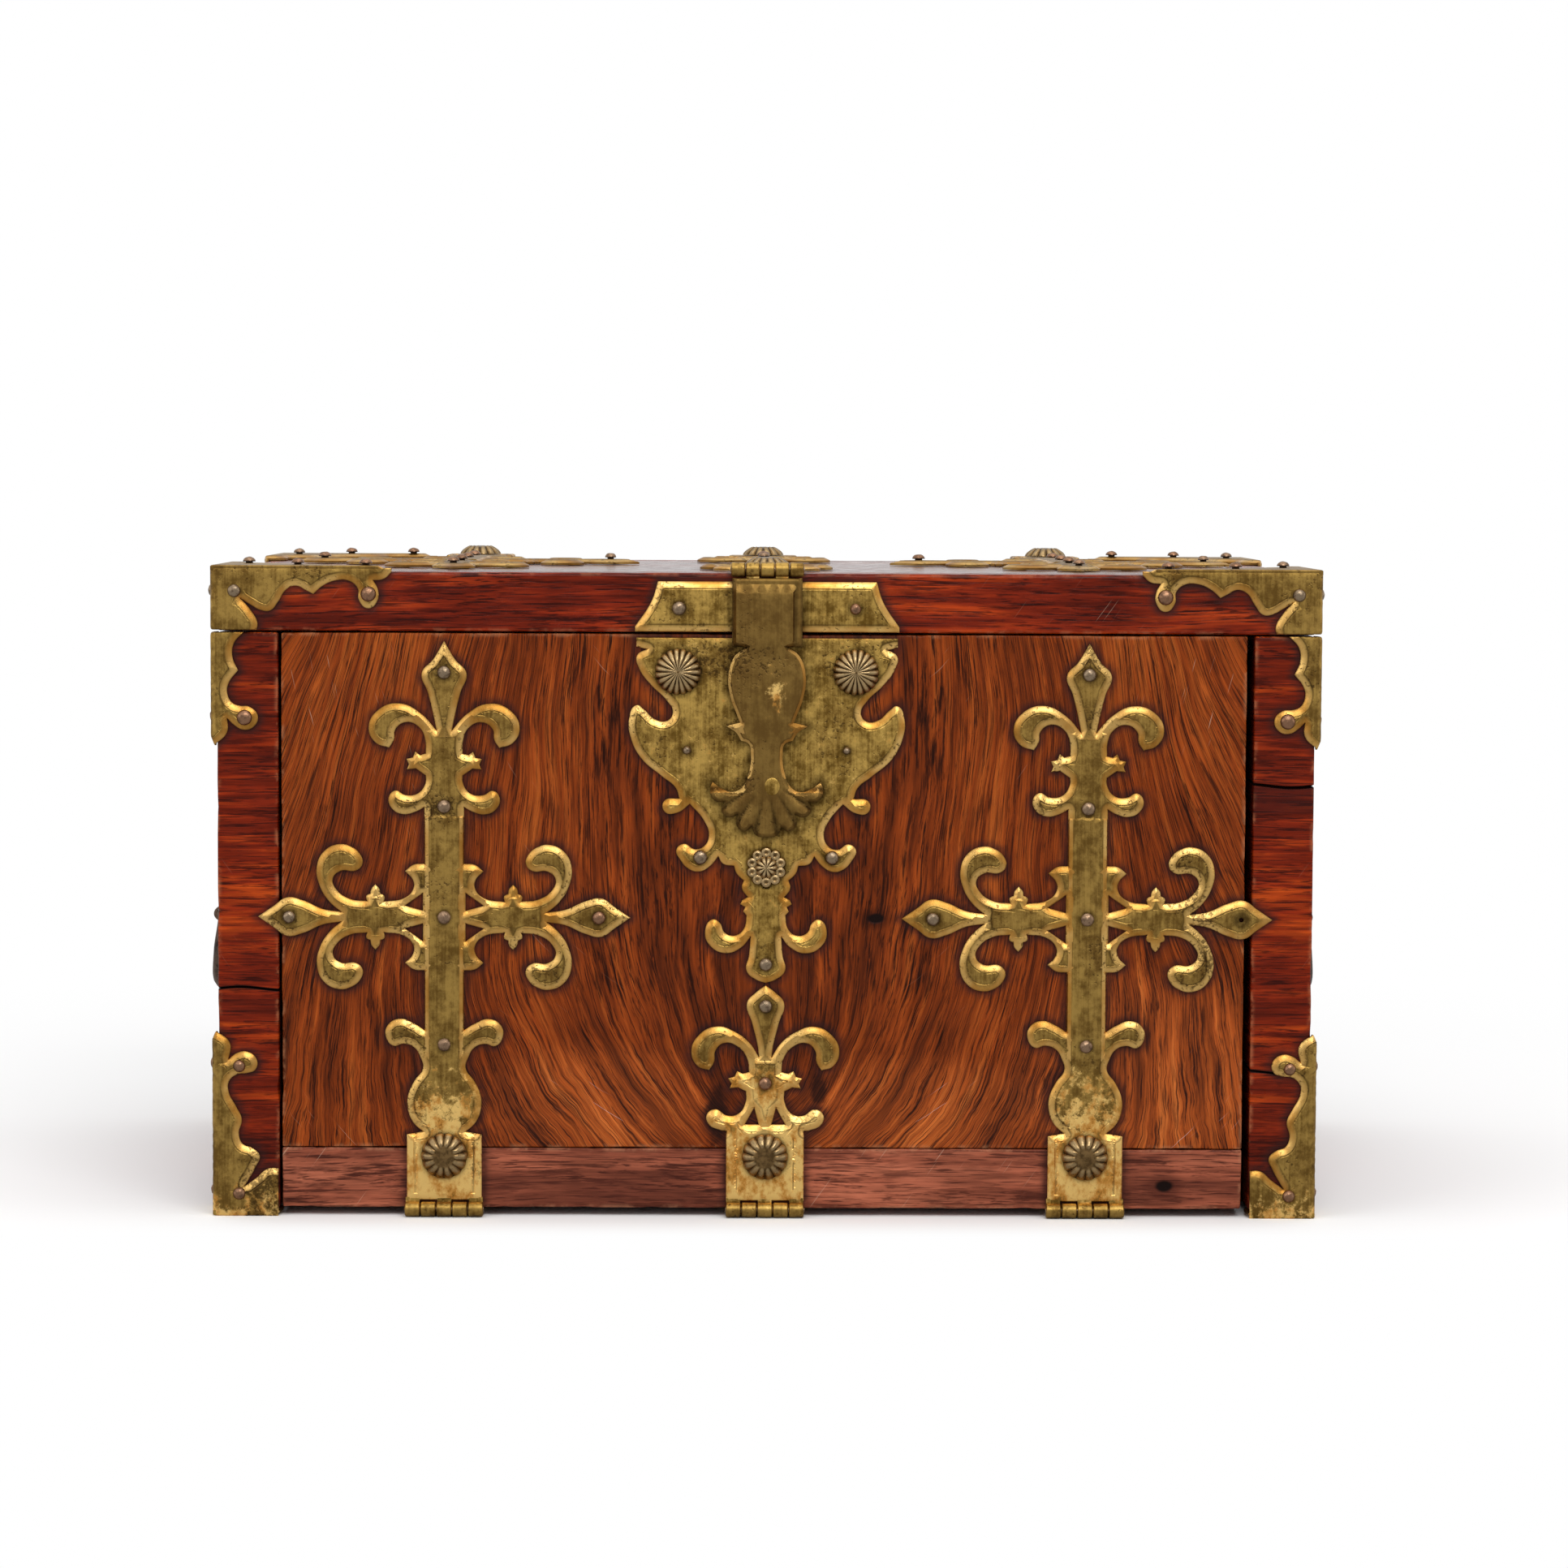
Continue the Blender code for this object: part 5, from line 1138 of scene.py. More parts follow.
# The hasp hangs over this plate and a line of painted shadow runs round it. Its outline is drawn from its hinge axis.
HASP_AXIS = (-138.45, 262.9)
HASP_HALF = [
    (14.1, -LEAF_START, 0), (14.1, -30.9, 0), (8.3, -31.2, 0), (12.8, -34.6, 1), (15.5, -42.4, 1), (14.8, -50.8, 1),
    (12.2, -58.1, 1), (10.8, -61.6, 0), (16.4, -63.0, 0), (12.4, -65.6, 1), (10.4, -68.8, 0), (7.2, -70.2, 1),
    (6.4, -74.2, 1), (7.2, -82.0, 1), (9.8, -87.6, 1), (13.6, -89.6, 1), (17.8, -88.4, 1), (21.8, -85.6, 0),
    (22.8, -89.0, 1), (21.0, -93.0, 1), (17.0, -93.8, 0), (18.0, -97.4, 1), (14.8, -99.8, 1), (11.6, -98.8, 0),
    (12.0, -103.2, 1), (8.8, -105.4, 1), (5.8, -103.6, 0), (4.4, -107.0, 1), (0.0, -107.9, 1),
]
slot_hole = [
    (SLOT_X, SLOT_Z[0] - LOCK_TOP, 0), (SLOT_X, SLOT_Z[1] - LOCK_TOP, 0), (-SLOT_X, SLOT_Z[1] - LOCK_TOP, 0),
    (-SLOT_X, SLOT_Z[0] - LOCK_TOP, 0)
]
key_hole = [(KEY_R * math.sin(a), KEY_Z - LOCK_TOP + KEY_R * math.cos(a), 0) for a in np.linspace(-2.45, 2.45, 15)]
key_hole += [(BIT_X, BIT_Z - LOCK_TOP, 0), (-BIT_X, BIT_Z - LOCK_TOP, 0)]
lock_rounds = [(u, v, (more or [NAIL_R])[0]) for u, v, *more in LOCK_NAILS]
lock_rounds += [
    (*LOCK_ROSETTE, ROSETTE_R), (-LOCK_ROSETTE[0], LOCK_ROSETTE[1], ROSETTE_R), (0.0, BOSS_Z - LOCK_TOP, 7.6)
]
lock_sheet = sheet(
    mirrored(LOCK_HALF), [slot_hole, key_hole], lambda u, v: v > -3.7 or (
        abs(u) < 5.0 and -103.0 < v < -50.0
    ), both=(1,),
    pitch=2.2, rounds=lock_rounds,
)
lock_place = flat_on((0.0, Y_FRONT - SEAT, LOCK_TOP), *FACE)
lock_bosses = []
for sign in (-1, 1):
    co, faces, rim = rosette(rise=ROSETTE_RISE + 0.2, petals=19, core=0.12, crown=0.5)
    seat = lock_place(np.array([[sign * LOCK_ROSETTE[0], LOCK_ROSETTE[1], PLATE]]))[0]
    lock_bosses.append((flat_on(seat, *FACE)(co), faces, {"rim": rim, "gilt": 0.45}))
hasp_shade = traced(mirrored(HASP_HALF)) + np.array([0.0, HASP_AXIS[1] - LOCK_TOP])
piece, line = strap(
    "lock_plate_shield", lock_sheet, lock_place, lambda co: np.full(len(co), 0.22), (), lock_rounds, [hasp_shade]
)
finish(piece, brass, "fall_front", "brass", "lock_plate")
soil_and_shade(line, "front")
bosses = gathered("lock_plate_rosettes", lock_bosses, 40.0)
finish(bosses, boss_bronze, "fall_front", "brass")
heads = nail_heads("nails_lock_plate", LOCK_NAILS, lock_place)
finish(heads, nail_metal, "fall_front", "iron")

ring = []
for i in range(10):
    angle = 2 * math.pi * i / 10 + math.pi / 2
    co, faces = lathe([(2.25, 0.0), (2.3, 0.6), (1.9, 1.3), (1.2, 1.55), (0.8, 1.2), (0.1, 1.0)], 14)
    spot = np.array([6.0 * math.cos(angle), 6.0 * math.sin(angle), 0.4])
    ring.append(
        (
            co + spot, faces,
            {"rim": np.interp(np.hypot(co[:, 0], co[:, 1]), [0.1, 1.2, 1.9, 2.3], [5.0, 0.4, 1.2, 4.4]), "gilt": 0.35}
        )
    )
co, faces = lathe([(6.8, 0.0), (7.0, 0.5), (6.4, 1.1), (4.6, 1.3)], 40)
ring.append((co, faces, {"rim": 4.2, "gilt": 0.6}))
co, faces, rim = rosette(4.7, 3.4, 10, 0.1, 0.5)
ring.append((co + np.array([0.0, 0.0, 0.9]), faces, {"rim": rim, "gilt": 0.7}))
cover_place = flat_on((0.0, Y_FRONT - 2.8, BOSS_Z), *FACE)
cover = gathered("keyhole_boss", [(cover_place(co), faces, values) for co, faces, values in ring], 40.0)
finish(cover, boss_bronze, "keyhole_cover", "brass", "keyhole_cover")

# ---------------------------------------------------------------- Lid
# Four rails with rounded outer edges round a thin let-in board, all deep red rosewood, waxed to a high shine.
# The front rail's straight grain shows orange flecks along its lower edge.
LID_BOTTOM, LID_TOP, X_SIDE, Y_BACK = 237.3, 261.3, 221.5, 135.45
lid_red = (srgb(36, 6, 3), srgb(114, 30, 9), srgb(168, 60, 15), 0.005, 170.0, 0.20)
lid_wood = wood("lid_rail_wood", along(2, 1, 0), *lid_red, polish=0.10)
side_wood = wood("lid_end_wood", along(2, 0, 1), *lid_red, polish=0.10)
top_wood = wood(
    "lid_top_wood", along(1, 2, 0), srgb(42, 12, 9), srgb(104, 34, 17), srgb(150, 66, 30), 0.012, 70.0, 0.16,
    polish=0.42
)
for key, node, facing, material in (
    ("lid_front", "lid_front_rail", 1, lid_wood), ("lid_back", "lid_back_rail", 1, lid_wood),
    ("lid_left", "lid_left_rail", 0, side_wood), ("lid_right", "lid_right_rail", 0, side_wood),
    ("lid_top", "lid_top_board", 2, top_wood),
):
    pitch = 2.0 if key == "lid_front" else 4.0
    boards[key] = board(
        node.replace("lid_", "rail_lid_"), node, facing, pitch * MM, (0.5 if key == "lid_top" else 1.5) * MM, 0.5
    )
    finish(boards[key], material, "lid", "rosewood", node)

# ---------------------------------------------------------------- Lid straps
# The same crosses and short strap laid on the lid's top, bent down its back and rolled into knuckles at the joint,
# with plain leaves nailed to the back board below.
LID_AXIS, BEND = (138.75, 237.0), 2.75


def over_back(x, shift):
    """Lays a strap along the lid's top towards the back and bends it down over the edge."""
    def place(co):
        out = SEAT + co[:, 2]
        run = co[:, 1] - shift
        turn = np.clip((1 - run / BEND) * math.pi / 4, 0, math.pi / 2)
        y = Y_BACK + out * np.sin(turn) - np.maximum(run - BEND, 0)
        z = LID_TOP + out * np.cos(turn) - np.maximum(-BEND - run, 0)
        return np.column_stack([x - co[:, 0], y, z])
    return place


cross_bend, short_bend = -115.75, 2.95
cross_lid_points = mirrored(CROSS_HALF + [(15.1, cross_bend - BEND - 20.8, 0)])
bend_rows = lambda middle, half: [
    (u, middle + v) for v in np.linspace(-BEND, BEND, 7) for u in np.linspace(-half, half, 9)
]
cross_lid_sheet = ridged(
    sheet(cross_lid_points, cross_holes, square_end, extra=bend_rows(cross_bend, 14.0) + stem_rows)
)
short_lid_points = mirrored(SHORT_HALF[:-1] + [(15.7, short_bend - BEND - 20.8, 0)])
short_lid_sheet = sheet(short_lid_points, SHORT_OPENINGS, lambda u, v: v < 31.9, extra=bend_rows(short_bend, 14.6))
back_leaf_sheet = sheet(
    [
        (-15.2, 0.0, 0), (-15.2, -26.0, 1), (-8.0, -29.0, 1), (0.0, -30.0, 1), (8.0, -29.0, 1), (15.2, -26.0, 1),
        (15.2, 0.0, 0)
    ],
    plain=lambda u, v: v > -0.5, pitch=6.0,
)
BEHIND = ((-1, 0, 0), (0, 0, 1), (0, 1, 0))
for side, x in (("left", -STRAP_X), ("right", STRAP_X), ("centre", 0.0)):
    short = side == "centre"
    place = over_back(x, short_bend if short else cross_bend)
    hinge = knuckles(x, *LID_AXIS, HINGE_LENGTH, 0) + fingers(
        x, HINGE_LENGTH, 0, (Y_BACK + 0.6, Y_BACK + 2.4), (238.8, 241.7)
    )
    gilt = (lambda co: short_gilt(co) * 0.5) if short else (lambda co: cross_gilt(co) * 0.5)
    piece, line = strap(
        f"strap_lid_{side}", short_lid_sheet if short else cross_lid_sheet, place, gilt, hinge,
        short_rounds if short else cross_rounds, (), 1.0
    )
    finish(piece, brass, "lid", "brass", f"lid_strap_{side}")
    soil_and_shade(line, "lid_top", "lid_back")
    heads = nail_heads(f"nails_lid_{side}", SHORT_NAILS if short else CROSS_NAILS, place, *PROUD_NAIL)
    finish(heads, nail_metal, "lid", "iron")
    co, faces, rim = rosette()
    seat = (x, Y_BACK + 2.2 + LEAF_START - ROSETTE_FROM_AXIS, LID_TOP + 2.8)
    boss = gathered(
        f"rosette_lid_{side}", [(flat_on(seat, (-1, 0, 0), (0, -1, 0), (0, 0, 1))(co), faces, {"rim": rim})], 40.0
    )
    finish(boss, boss_bronze, "lid", "brass", f"lid_rosette_{side}")
    place = flat_on((x, Y_BACK + SEAT, LID_AXIS[1] - LEAF_START), *BEHIND)
    hinge = knuckles(x, *LID_AXIS, HINGE_LENGTH, 1) + fingers(
        x, HINGE_LENGTH, 1, (Y_BACK + 0.6, Y_BACK + 2.4), (232.3, 235.2)
    )
    piece, line = strap(f"leaf_back_{side}", back_leaf_sheet, place, lambda co: np.full(len(co), 0.2), hinge)
    finish(piece, brass, "carcass", "brass", f"back_leaf_{side}")
    soil_and_shade(line, "back")
    heads = nail_heads(f"nails_back_{side}", [(-9.0, -9.0), (9.0, -9.0), (0.0, -22.0)], place)
    finish(heads, nail_metal, "carcass", "iron")
    pin(f"pin_back_{side}", x, *LID_AXIS, HINGE_LENGTH, "carcass", f"back_pin_{side}")

# ---------------------------------------------------------------- Lid plate, hasp and its leaf
# A brass plate nailed across the lid's front rail, and a heavy hasp hung from a fleur-de-lis leaf on the lid's top.
# The hasp is boxed below its knuckles, swells to a shield and ends in a carved leaf with the staple riveted through.
HASP_LENGTH, HASP_BACK, STAPLE_Z = 29.5, 2.8, 175.7
LID_PLATE_HALF = [(44.0, 20.6, 0), (46.6, 12.6, 1), (53.2, 2.4, 0), (53.2, 0.4, 0)]
plate_rounds = [(-35.5, 9.8, NAIL_R), (35.5, 9.8, NAIL_R)]
lid_plate_sheet = sheet(mirrored(LID_PLATE_HALF), pitch=2.2, rounds=plate_rounds)
lid_plate_place = flat_on((0.0, Y_FRONT - SEAT, LID_BOTTOM), *FACE)
hasp_shade = hasp_shade + np.array([0.0, LOCK_TOP - LID_BOTTOM])
piece, line = strap(
    "lid_plate_front", lid_plate_sheet, lid_plate_place, lambda co: np.full(len(co), 0.18), (), plate_rounds,
    [hasp_shade]
)
finish(piece, brass, "lid", "brass", "lid_front_plate")
soil_and_shade(line, "lid_front")
heads = nail_heads("nails_lid_plate", [(-35.5, 9.8), (35.5, 9.8, 2.4, 0.8)], lid_plate_place)
finish(heads, nail_metal, "lid", "iron")

hasp_leaf_points = mirrored([(u * HASP_LENGTH / HINGE_LENGTH, v, kind) for u, v, kind in SHORT_HALF])
hasp_leaf_holes = [[(u * HASP_LENGTH / HINGE_LENGTH, v, kind) for u, v, kind in hole] for hole in SHORT_OPENINGS]
hasp_leaf_sheet = sheet(hasp_leaf_points, hasp_leaf_holes, lambda u, v: v < 31.9)
leaf_place = flat_on((0.0, HASP_AXIS[0], LID_TOP + SEAT), *ON_TOP)
hinge = knuckles(0.0, *HASP_AXIS, HASP_LENGTH, 0) + fingers(0.0, HASP_LENGTH, 0, (-136.8, -134.0), (261.9, 263.5))
piece, line = strap(
    "leaf_hasp", hasp_leaf_sheet, leaf_place, lambda co: short_gilt(co) * 0.5, hinge, short_rounds, (), 1.0
)
finish(piece, brass, "lid", "brass", "hasp_leaf")
soil_and_shade(line, "lid_top", "lid_front")
co, faces, rim = rosette()
seat = (0.0, HASP_AXIS[0] + ROSETTE_FROM_AXIS, LID_TOP + 2.5)
boss = gathered("rosette_hasp", [(flat_on(seat, *ON_TOP)(co), faces, {"rim": rim})], 40.0)
finish(boss, boss_bronze, "lid", "brass")
heads = nail_heads("nails_hasp_leaf", SHORT_NAILS, leaf_place, *PROUD_NAIL)
finish(heads, nail_metal, "lid", "iron")
pin("pin_hasp", 0.0, *HASP_AXIS, HASP_LENGTH, "lid", "hasp_pin")

box_rows = [(u, v) for u in (-13.4, -12.6, -5.0, 0.0, 5.0, 10.2, 11.0) for v in np.linspace(-9.0, -30.5, 12)]
leaf_rows = [(u, v) for u in np.arange(-22.0, 22.1, 0.8) for v in np.arange(-107.0, -84.0, 0.8)]
hasp_sheet = sheet(
    mirrored(HASP_HALF), plain=lambda u, v: v > -4.0, bevel=1.6, thick=3.0, lip=1.7, extra=box_rows + leaf_rows,
    groove=0.0,
)
co, faces, rim, line = hasp_sheet
half = len(co) // 2
u, v = co[:half, 0], co[:half, 1]
boxed = np.interp(
    u, [-13.6, -12.6, 10.2, 11.0], [0.0, 1.3, 1.3, 0.0]
) * np.interp(v, [-31.4, -30.2, -9.0, -6.0], [0.0, 1.0, 1.0, 0.0])
# The leaf at its end: seven lobes fluted from one root
fan, root = np.arctan2(u, -(v + 84.0)), np.hypot(u, v + 84.0)
flute = np.abs(np.cos(fan * 8.06)) ** 0.7 - 0.75
carved = flute * np.interp(root, [6.0, 14.0, 24.0], [0.0, 0.9, 1.6]) * np.interp(v, [-88.0, -85.5], [1.0, 0.0])
vase = 0.7 * np.exp(-(u / 9.0) ** 2) * np.interp(v, [-70.0, -50.0, -40.0, -32.0], [0.0, 1.0, 1.0, 0.0])
co[:half, 2] = np.maximum(co[:half, 2] + boxed + carved + vase, 0.6)
wing = (rim[:half] < 2.4) & (np.abs(u) > 8.6) & (((v > -90.0) & (v < -82.0)) | ((v > -66.0) & (v < -60.5)))
wing |= (rim[:half] < 1.3) & (v < -31.6) & (v > -84.0)
worn = np.full(len(co), 5.0)
worn[:half] = np.where(wing, 0.9, 5.0)
rubbed = np.zeros(len(co))
rubbed[:half] = 0.55 * np.exp(-((u - 3.0) / 6.0) ** 2 - ((v + 50.0) / 10.0) ** 2) + 0.25 * np.maximum(carved, 0)
# Darker in the carved hollows as patina, and along the box's right side and round the rim off the wings as painted
# shade.
dirt_and_shade = np.zeros(len(co))
dirt_and_shade[:half] = np.clip(-carved * 1.5, 0, 0.8) + 0.5 * np.exp(-((u - 11.4) / 0.8) ** 2) * (v > -31.0)
dirt_and_shade[:half] = np.maximum(dirt_and_shade[:half], np.where(wing, 0.0, np.interp(rim[:half], [0.0, 1.4], [0.75, 0.0])))
hasp_place = flat_on((0.0, Y_FRONT - HASP_BACK, HASP_AXIS[1]), *FACE)
staple = [((-2.0, 2.0), (-137.9, -126.9), (170.4, 173.1)), ((-2.0, 2.0), (-137.9, -126.9), (178.3, 181.0)), (
    (-2.0, 2.0), (-119.55, -116.95), (171.6, 179.8)
),
          ((-2.0, 2.0), (-127.0, -119.4), (170.4, 173.1)), ((-2.0, 2.0), (-127.0, -119.4), (178.3, 181.0))]
staple = [(*block(*spans), {"rim": 4.0, "gilt": 0.0}) for spans in staple]
hinge = knuckles(0.0, *HASP_AXIS, HASP_LENGTH, 1) + fingers(0.0, HASP_LENGTH, 1, (-139.3, -137.6), (258.2, 261.1))
piece = gathered(
    "hasp_drop",
    [(hasp_place(co), faces, {"rim": worn, "gilt": rubbed, "soot": dirt_and_shade, "tarnish": 1.0}), *hinge, *staple]
)
finish(piece, brass, "hasp", "brass", "hasp")
rivet, faces = lathe([(3.0, 0.0), (3.05, 0.18), (2.7, 0.34), (0.1, 0.36)], 20)
rivet = rivet * np.array([1.0, 1.15, 1.0]) + np.array([2.2, STAPLE_Z - HASP_AXIS[1], 3.0])
head = gathered("rivet_staple", [(hasp_place(rivet), faces, {"rim": 3.8, "gilt": 0.2})], 40.0)
finish(head, brass, "hasp", "brass")

# ---------------------------------------------------------------- Corner mounts
# Twelve corners of brass sheet with scrolled edges: each is bent round the box's upright edge, the lid's are capped
# on top and the feet turned under. Domed nails hold them, one in each scroll.
MIDDLE_Y, CORNER_X, CORNER_Y, LAP = 0.45, 224.0, -137.05, 0.25
LID_FLANGE = [
    (0.0, 0.4, 0), (18.9, 0.4, 0), (19.3, 3.0, 1), (16.5, 8.4, 1), (12.5, 13.0, 0), (16.7, 10.4, 1), (20.8, 8.3, 1),
    (24.4, 8.2, 1), (27.6, 11.8, 1), (31.0, 16.8, 1), (34.9, 18.2, 1), (38.8, 16.4, 1), (41.7, 14.9, 0),
    (45.5, 18.2, 1),
    (50.7, 20.4, 1), (56.2, 20.2, 1), (59.6, 17.2, 1), (60.0, 12.6, 1), (63.8, 9.2, 1), (67.5, 12.4, 1),
    (67.6, 17.0, 1),
    (65.8, 20.4, 0), (70.2, 21.2, 1), (73.2, 24.0, 0), (73.2, 25.4, 0), (0.0, 25.4, 0),
]
TOP_FLANGE = [
    (0.0, 0.0, 0), (70.0, 0.0, 0), (68.8, 6.0, 1), (63.0, 9.6, 1), (56.4, 8.4, 1), (51.0, 10.0, 0), (46.0, 18.4, 1),
    (38.0, 23.6, 1), (30.0, 30.0, 0), (23.6, 38.0, 1), (18.4, 46.0, 1), (10.0, 51.0, 0), (8.4, 56.4, 1), (9.6, 63.0, 1),
    (6.0, 68.8, 1), (0.0, 70.0, 0),
]
UPPER_FLANGE = [
    (0.0, 0.0, 0), (13.6, 0.0, 0), (9.8, -4.4, 1), (9.2, -10.1, 1), (11.4, -15.3, 0), (7.6, -20.5, 1), (7.0, -24.4, 1),
    (9.0, -28.4, 1), (12.0, -29.6, 1), (15.9, -30.0, 1), (19.3, -33.7, 1), (17.4, -38.2, 1), (13.2, -39.2, 1),
    (9.6, -37.2, 1), (7.0, -34.8, 0), (7.0, -40.0, 1), (3.8, -43.8, 1), (0.0, -45.6, 0),
]
FOOT_FLANGE = [
    (0.0, 75.2, 0), (4.0, 73.9, 1), (7.6, 70.2, 1), (7.0, 63.8, 0), (10.3, 66.3, 1), (14.6, 66.9, 1), (18.4, 63.6, 1),
    (17.8, 59.6, 1), (14.4, 58.2, 1), (10.2, 57.6, 1), (7.0, 54.6, 1), (7.0, 50.2, 1), (10.0, 44.4, 1), (12.2, 39.4, 1),
    (11.0, 33.2, 1), (12.6, 29.2, 1), (16.4, 27.6, 1), (19.4, 24.4, 1), (18.0, 20.4, 1), (13.2, 11.8, 0),
    (18.2, 15.5, 1),
    (22.8, 19.2, 1), (27.0, 19.3, 0), (27.0, 0.0, 0), (0.0, 0.0, 0),
]
FOOT_PAD = [(0.0, 0.0, 0), (27.0, 0.0, 0), (27.0, 12.0, 1), (19.0, 19.0, 0), (12.0, 27.0, 1), (0.0, 27.0, 0)]


def round_corner(z):
    """Bends a sheet round the front right upright edge: positive u along the front, negative u along the end."""
    def place(co):
        out = SEAT + co[:, 2]
        turn = np.clip((1 - co[:, 0] / BEND) * math.pi / 4, 0, math.pi / 2)
        x = X_SIDE + out * np.sin(turn) - np.maximum(co[:, 0] - BEND, 0)
        y = Y_FRONT - out * np.cos(turn) + np.maximum(-BEND - co[:, 0], 0)
        return np.column_stack([x, y, z + co[:, 1]])
    return place


def upright_rows(low, high):
    return [(u, v) for u in np.linspace(-BEND, BEND, 7) for v in np.linspace(low, high, max(3, int((high - low) / 4)))]


corner_kinds = {
    "lid_corner": (
        sheet(
            mirrored(LID_FLANGE), plain=lambda u, v: v > 24.6 or v < 0.45, extra=upright_rows(1.5, 24.5)
        ), LID_BOTTOM, "lid",
        [
            (10.0, 16.1), (63.9, 15.0, 2.9, 0.8), (-10.0, 16.1), (-63.9, 15.0, 2.9, 0.8)
        ], ("lid_front", "lid_left", "lid_right", "lid_back"),
    ),
    "upper_corner": (
        sheet(mirrored(UPPER_FLANGE), plain=lambda u, v: v > -0.1, extra=upright_rows(-44.0, -1.5)), 236.7, "carcass",
        [(14.0, -34.3, 2.9, 0.85), (-14.0, -34.3, 2.9, 0.85)], ("left", "right", "back"),
    ),
    "foot_corner": (
        sheet(
            mirrored(FOOT_FLANGE), plain=lambda u, v: v < 0.1 or (abs(u) > 26.9 and v < 19),
            extra=upright_rows(1.5, 73.0)
        ), 0.0, "carcass",
        [
            (11.4, 61.2, 2.6, 1.0), (11.2, 9.2, 2.6, 1.0), (-11.4, 61.2, 2.6, 1.0), (-11.2, 9.2, 2.6, 1.0)
        ], ("left", "right", "back", "base"),
    ),
}
cap_sheet = sheet(TOP_FLANGE, plain=lambda u, v: u < 0.05 or v < 0.05)
cap_place = flat_on((CORNER_X - LAP, CORNER_Y + LAP, LID_TOP + SEAT), (-1, 0, 0), (0, 1, 0), (0, 0, 1))
pad_sheet = sheet(FOOT_PAD, plain=lambda u, v: u < 0.05 or v < 0.05)
pad_place = flat_on((CORNER_X - LAP, CORNER_Y + LAP, PLATE), (-1, 0, 0), (0, 1, 0), (0, 0, -1))
CAP_NAILS = [(34.0, 12.0), (12.0, 34.0), (62.0, 5.0)]


def reflect(co, left, back):
    co = co.copy()
    if left:
        co[:, 0] *= -1
    if back:
        co[:, 1] = 2 * MIDDLE_Y - co[:, 1]
    return co


for kind, (laid, z, body, spots, targets) in corner_kinds.items():
    place = round_corner(z)
    co, faces, rim, line = laid
    for depth, back in (("front", False), ("back", True)):
        for side, left in (("left", True), ("right", False)):
            parts = [
                (
                    reflect(place(co), left, back), faces,
                    {
                        "rim": rim,
                        "gilt": np.interp(co[:, 1], [0.0, 22.0], [0.55, 0.1]) if kind == "foot_corner" else 0.08,
                        "tarnish": 0.5
                    }
                )
            ]
            if kind == "lid_corner":
                parts.append(
                    (
                        reflect(cap_place(cap_sheet[0]), left, back), cap_sheet[1],
                        {"rim": cap_sheet[2], "gilt": 0.05, "tarnish": 0.8}
                    )
                )
            if kind == "foot_corner":
                parts.append(
                    (reflect(pad_place(pad_sheet[0]), left, back), pad_sheet[1], {"rim": pad_sheet[2], "gilt": 0.0})
                )
            piece = gathered(f"{kind.replace('_corner', '')}_mount_{depth}_{side}", parts)
            finish(piece, brass, body, "brass", f"{kind}_{depth}_{side}")
            soil_and_shade(reflect(place(seated(line)), left, back), *targets)
            if kind == "lid_corner":
                soil_and_shade(reflect(cap_place(seated(cap_sheet[3])), left, back), "lid_top")
            heads = nail_heads(f"nails_{kind}_{depth}_{side}", spots, lambda c: reflect(place(c), left, back))
            finish(heads, nail_metal, body, "iron")
            if kind == "lid_corner":
                heads = nail_heads(
                    f"nails_cap_{depth}_{side}", CAP_NAILS, lambda c: reflect(cap_place(c), left, back), *PROUD_NAIL
                )
                finish(heads, nail_metal, body, "iron")

# ---------------------------------------------------------------- Handles
# A forged back plate with two turned posts on each end, and a drop bail that swells to a moulded grip in the middle.
# Dark bronzed iron, rubbed where hands lift it. The bail hangs leaning a little outwards.
HANDLE_Z, HANDLE_X, POST_Y, BAIL_DROP, BAIL_LEAN, BAIL_R, PIVOT_R = 113.6, 231.0, 40.0, 31.6, 2.4, 5.4, 1.8
handle_iron = iron("handle_iron", srgb(56, 46, 42), srgb(84, 60, 48), srgb(132, 112, 98))
END, STRAIGHT = 11.0, 43.0
ROUNDED = [
    (STRAIGHT, END, 0), (STRAIGHT + END * 0.7071, END * 0.7071, 1), (STRAIGHT + END, 0.0, 1),
    (
        STRAIGHT + END * 0.7071, -END * 0.7071, 1
    ), (STRAIGHT, -END, 0), (30.0, -END, 0), (22.0, -8.6, 1), (10.0, -9.4, 1), (0.0, -13.0, 0),
]
ROUNDED = [(0.0, 13.0, 0), (10.0, 9.4, 1), (22.0, 8.6, 1), (30.0, END, 0)] + ROUNDED
handle_sheet = sheet(mirrored(ROUNDED), lip=0.9)
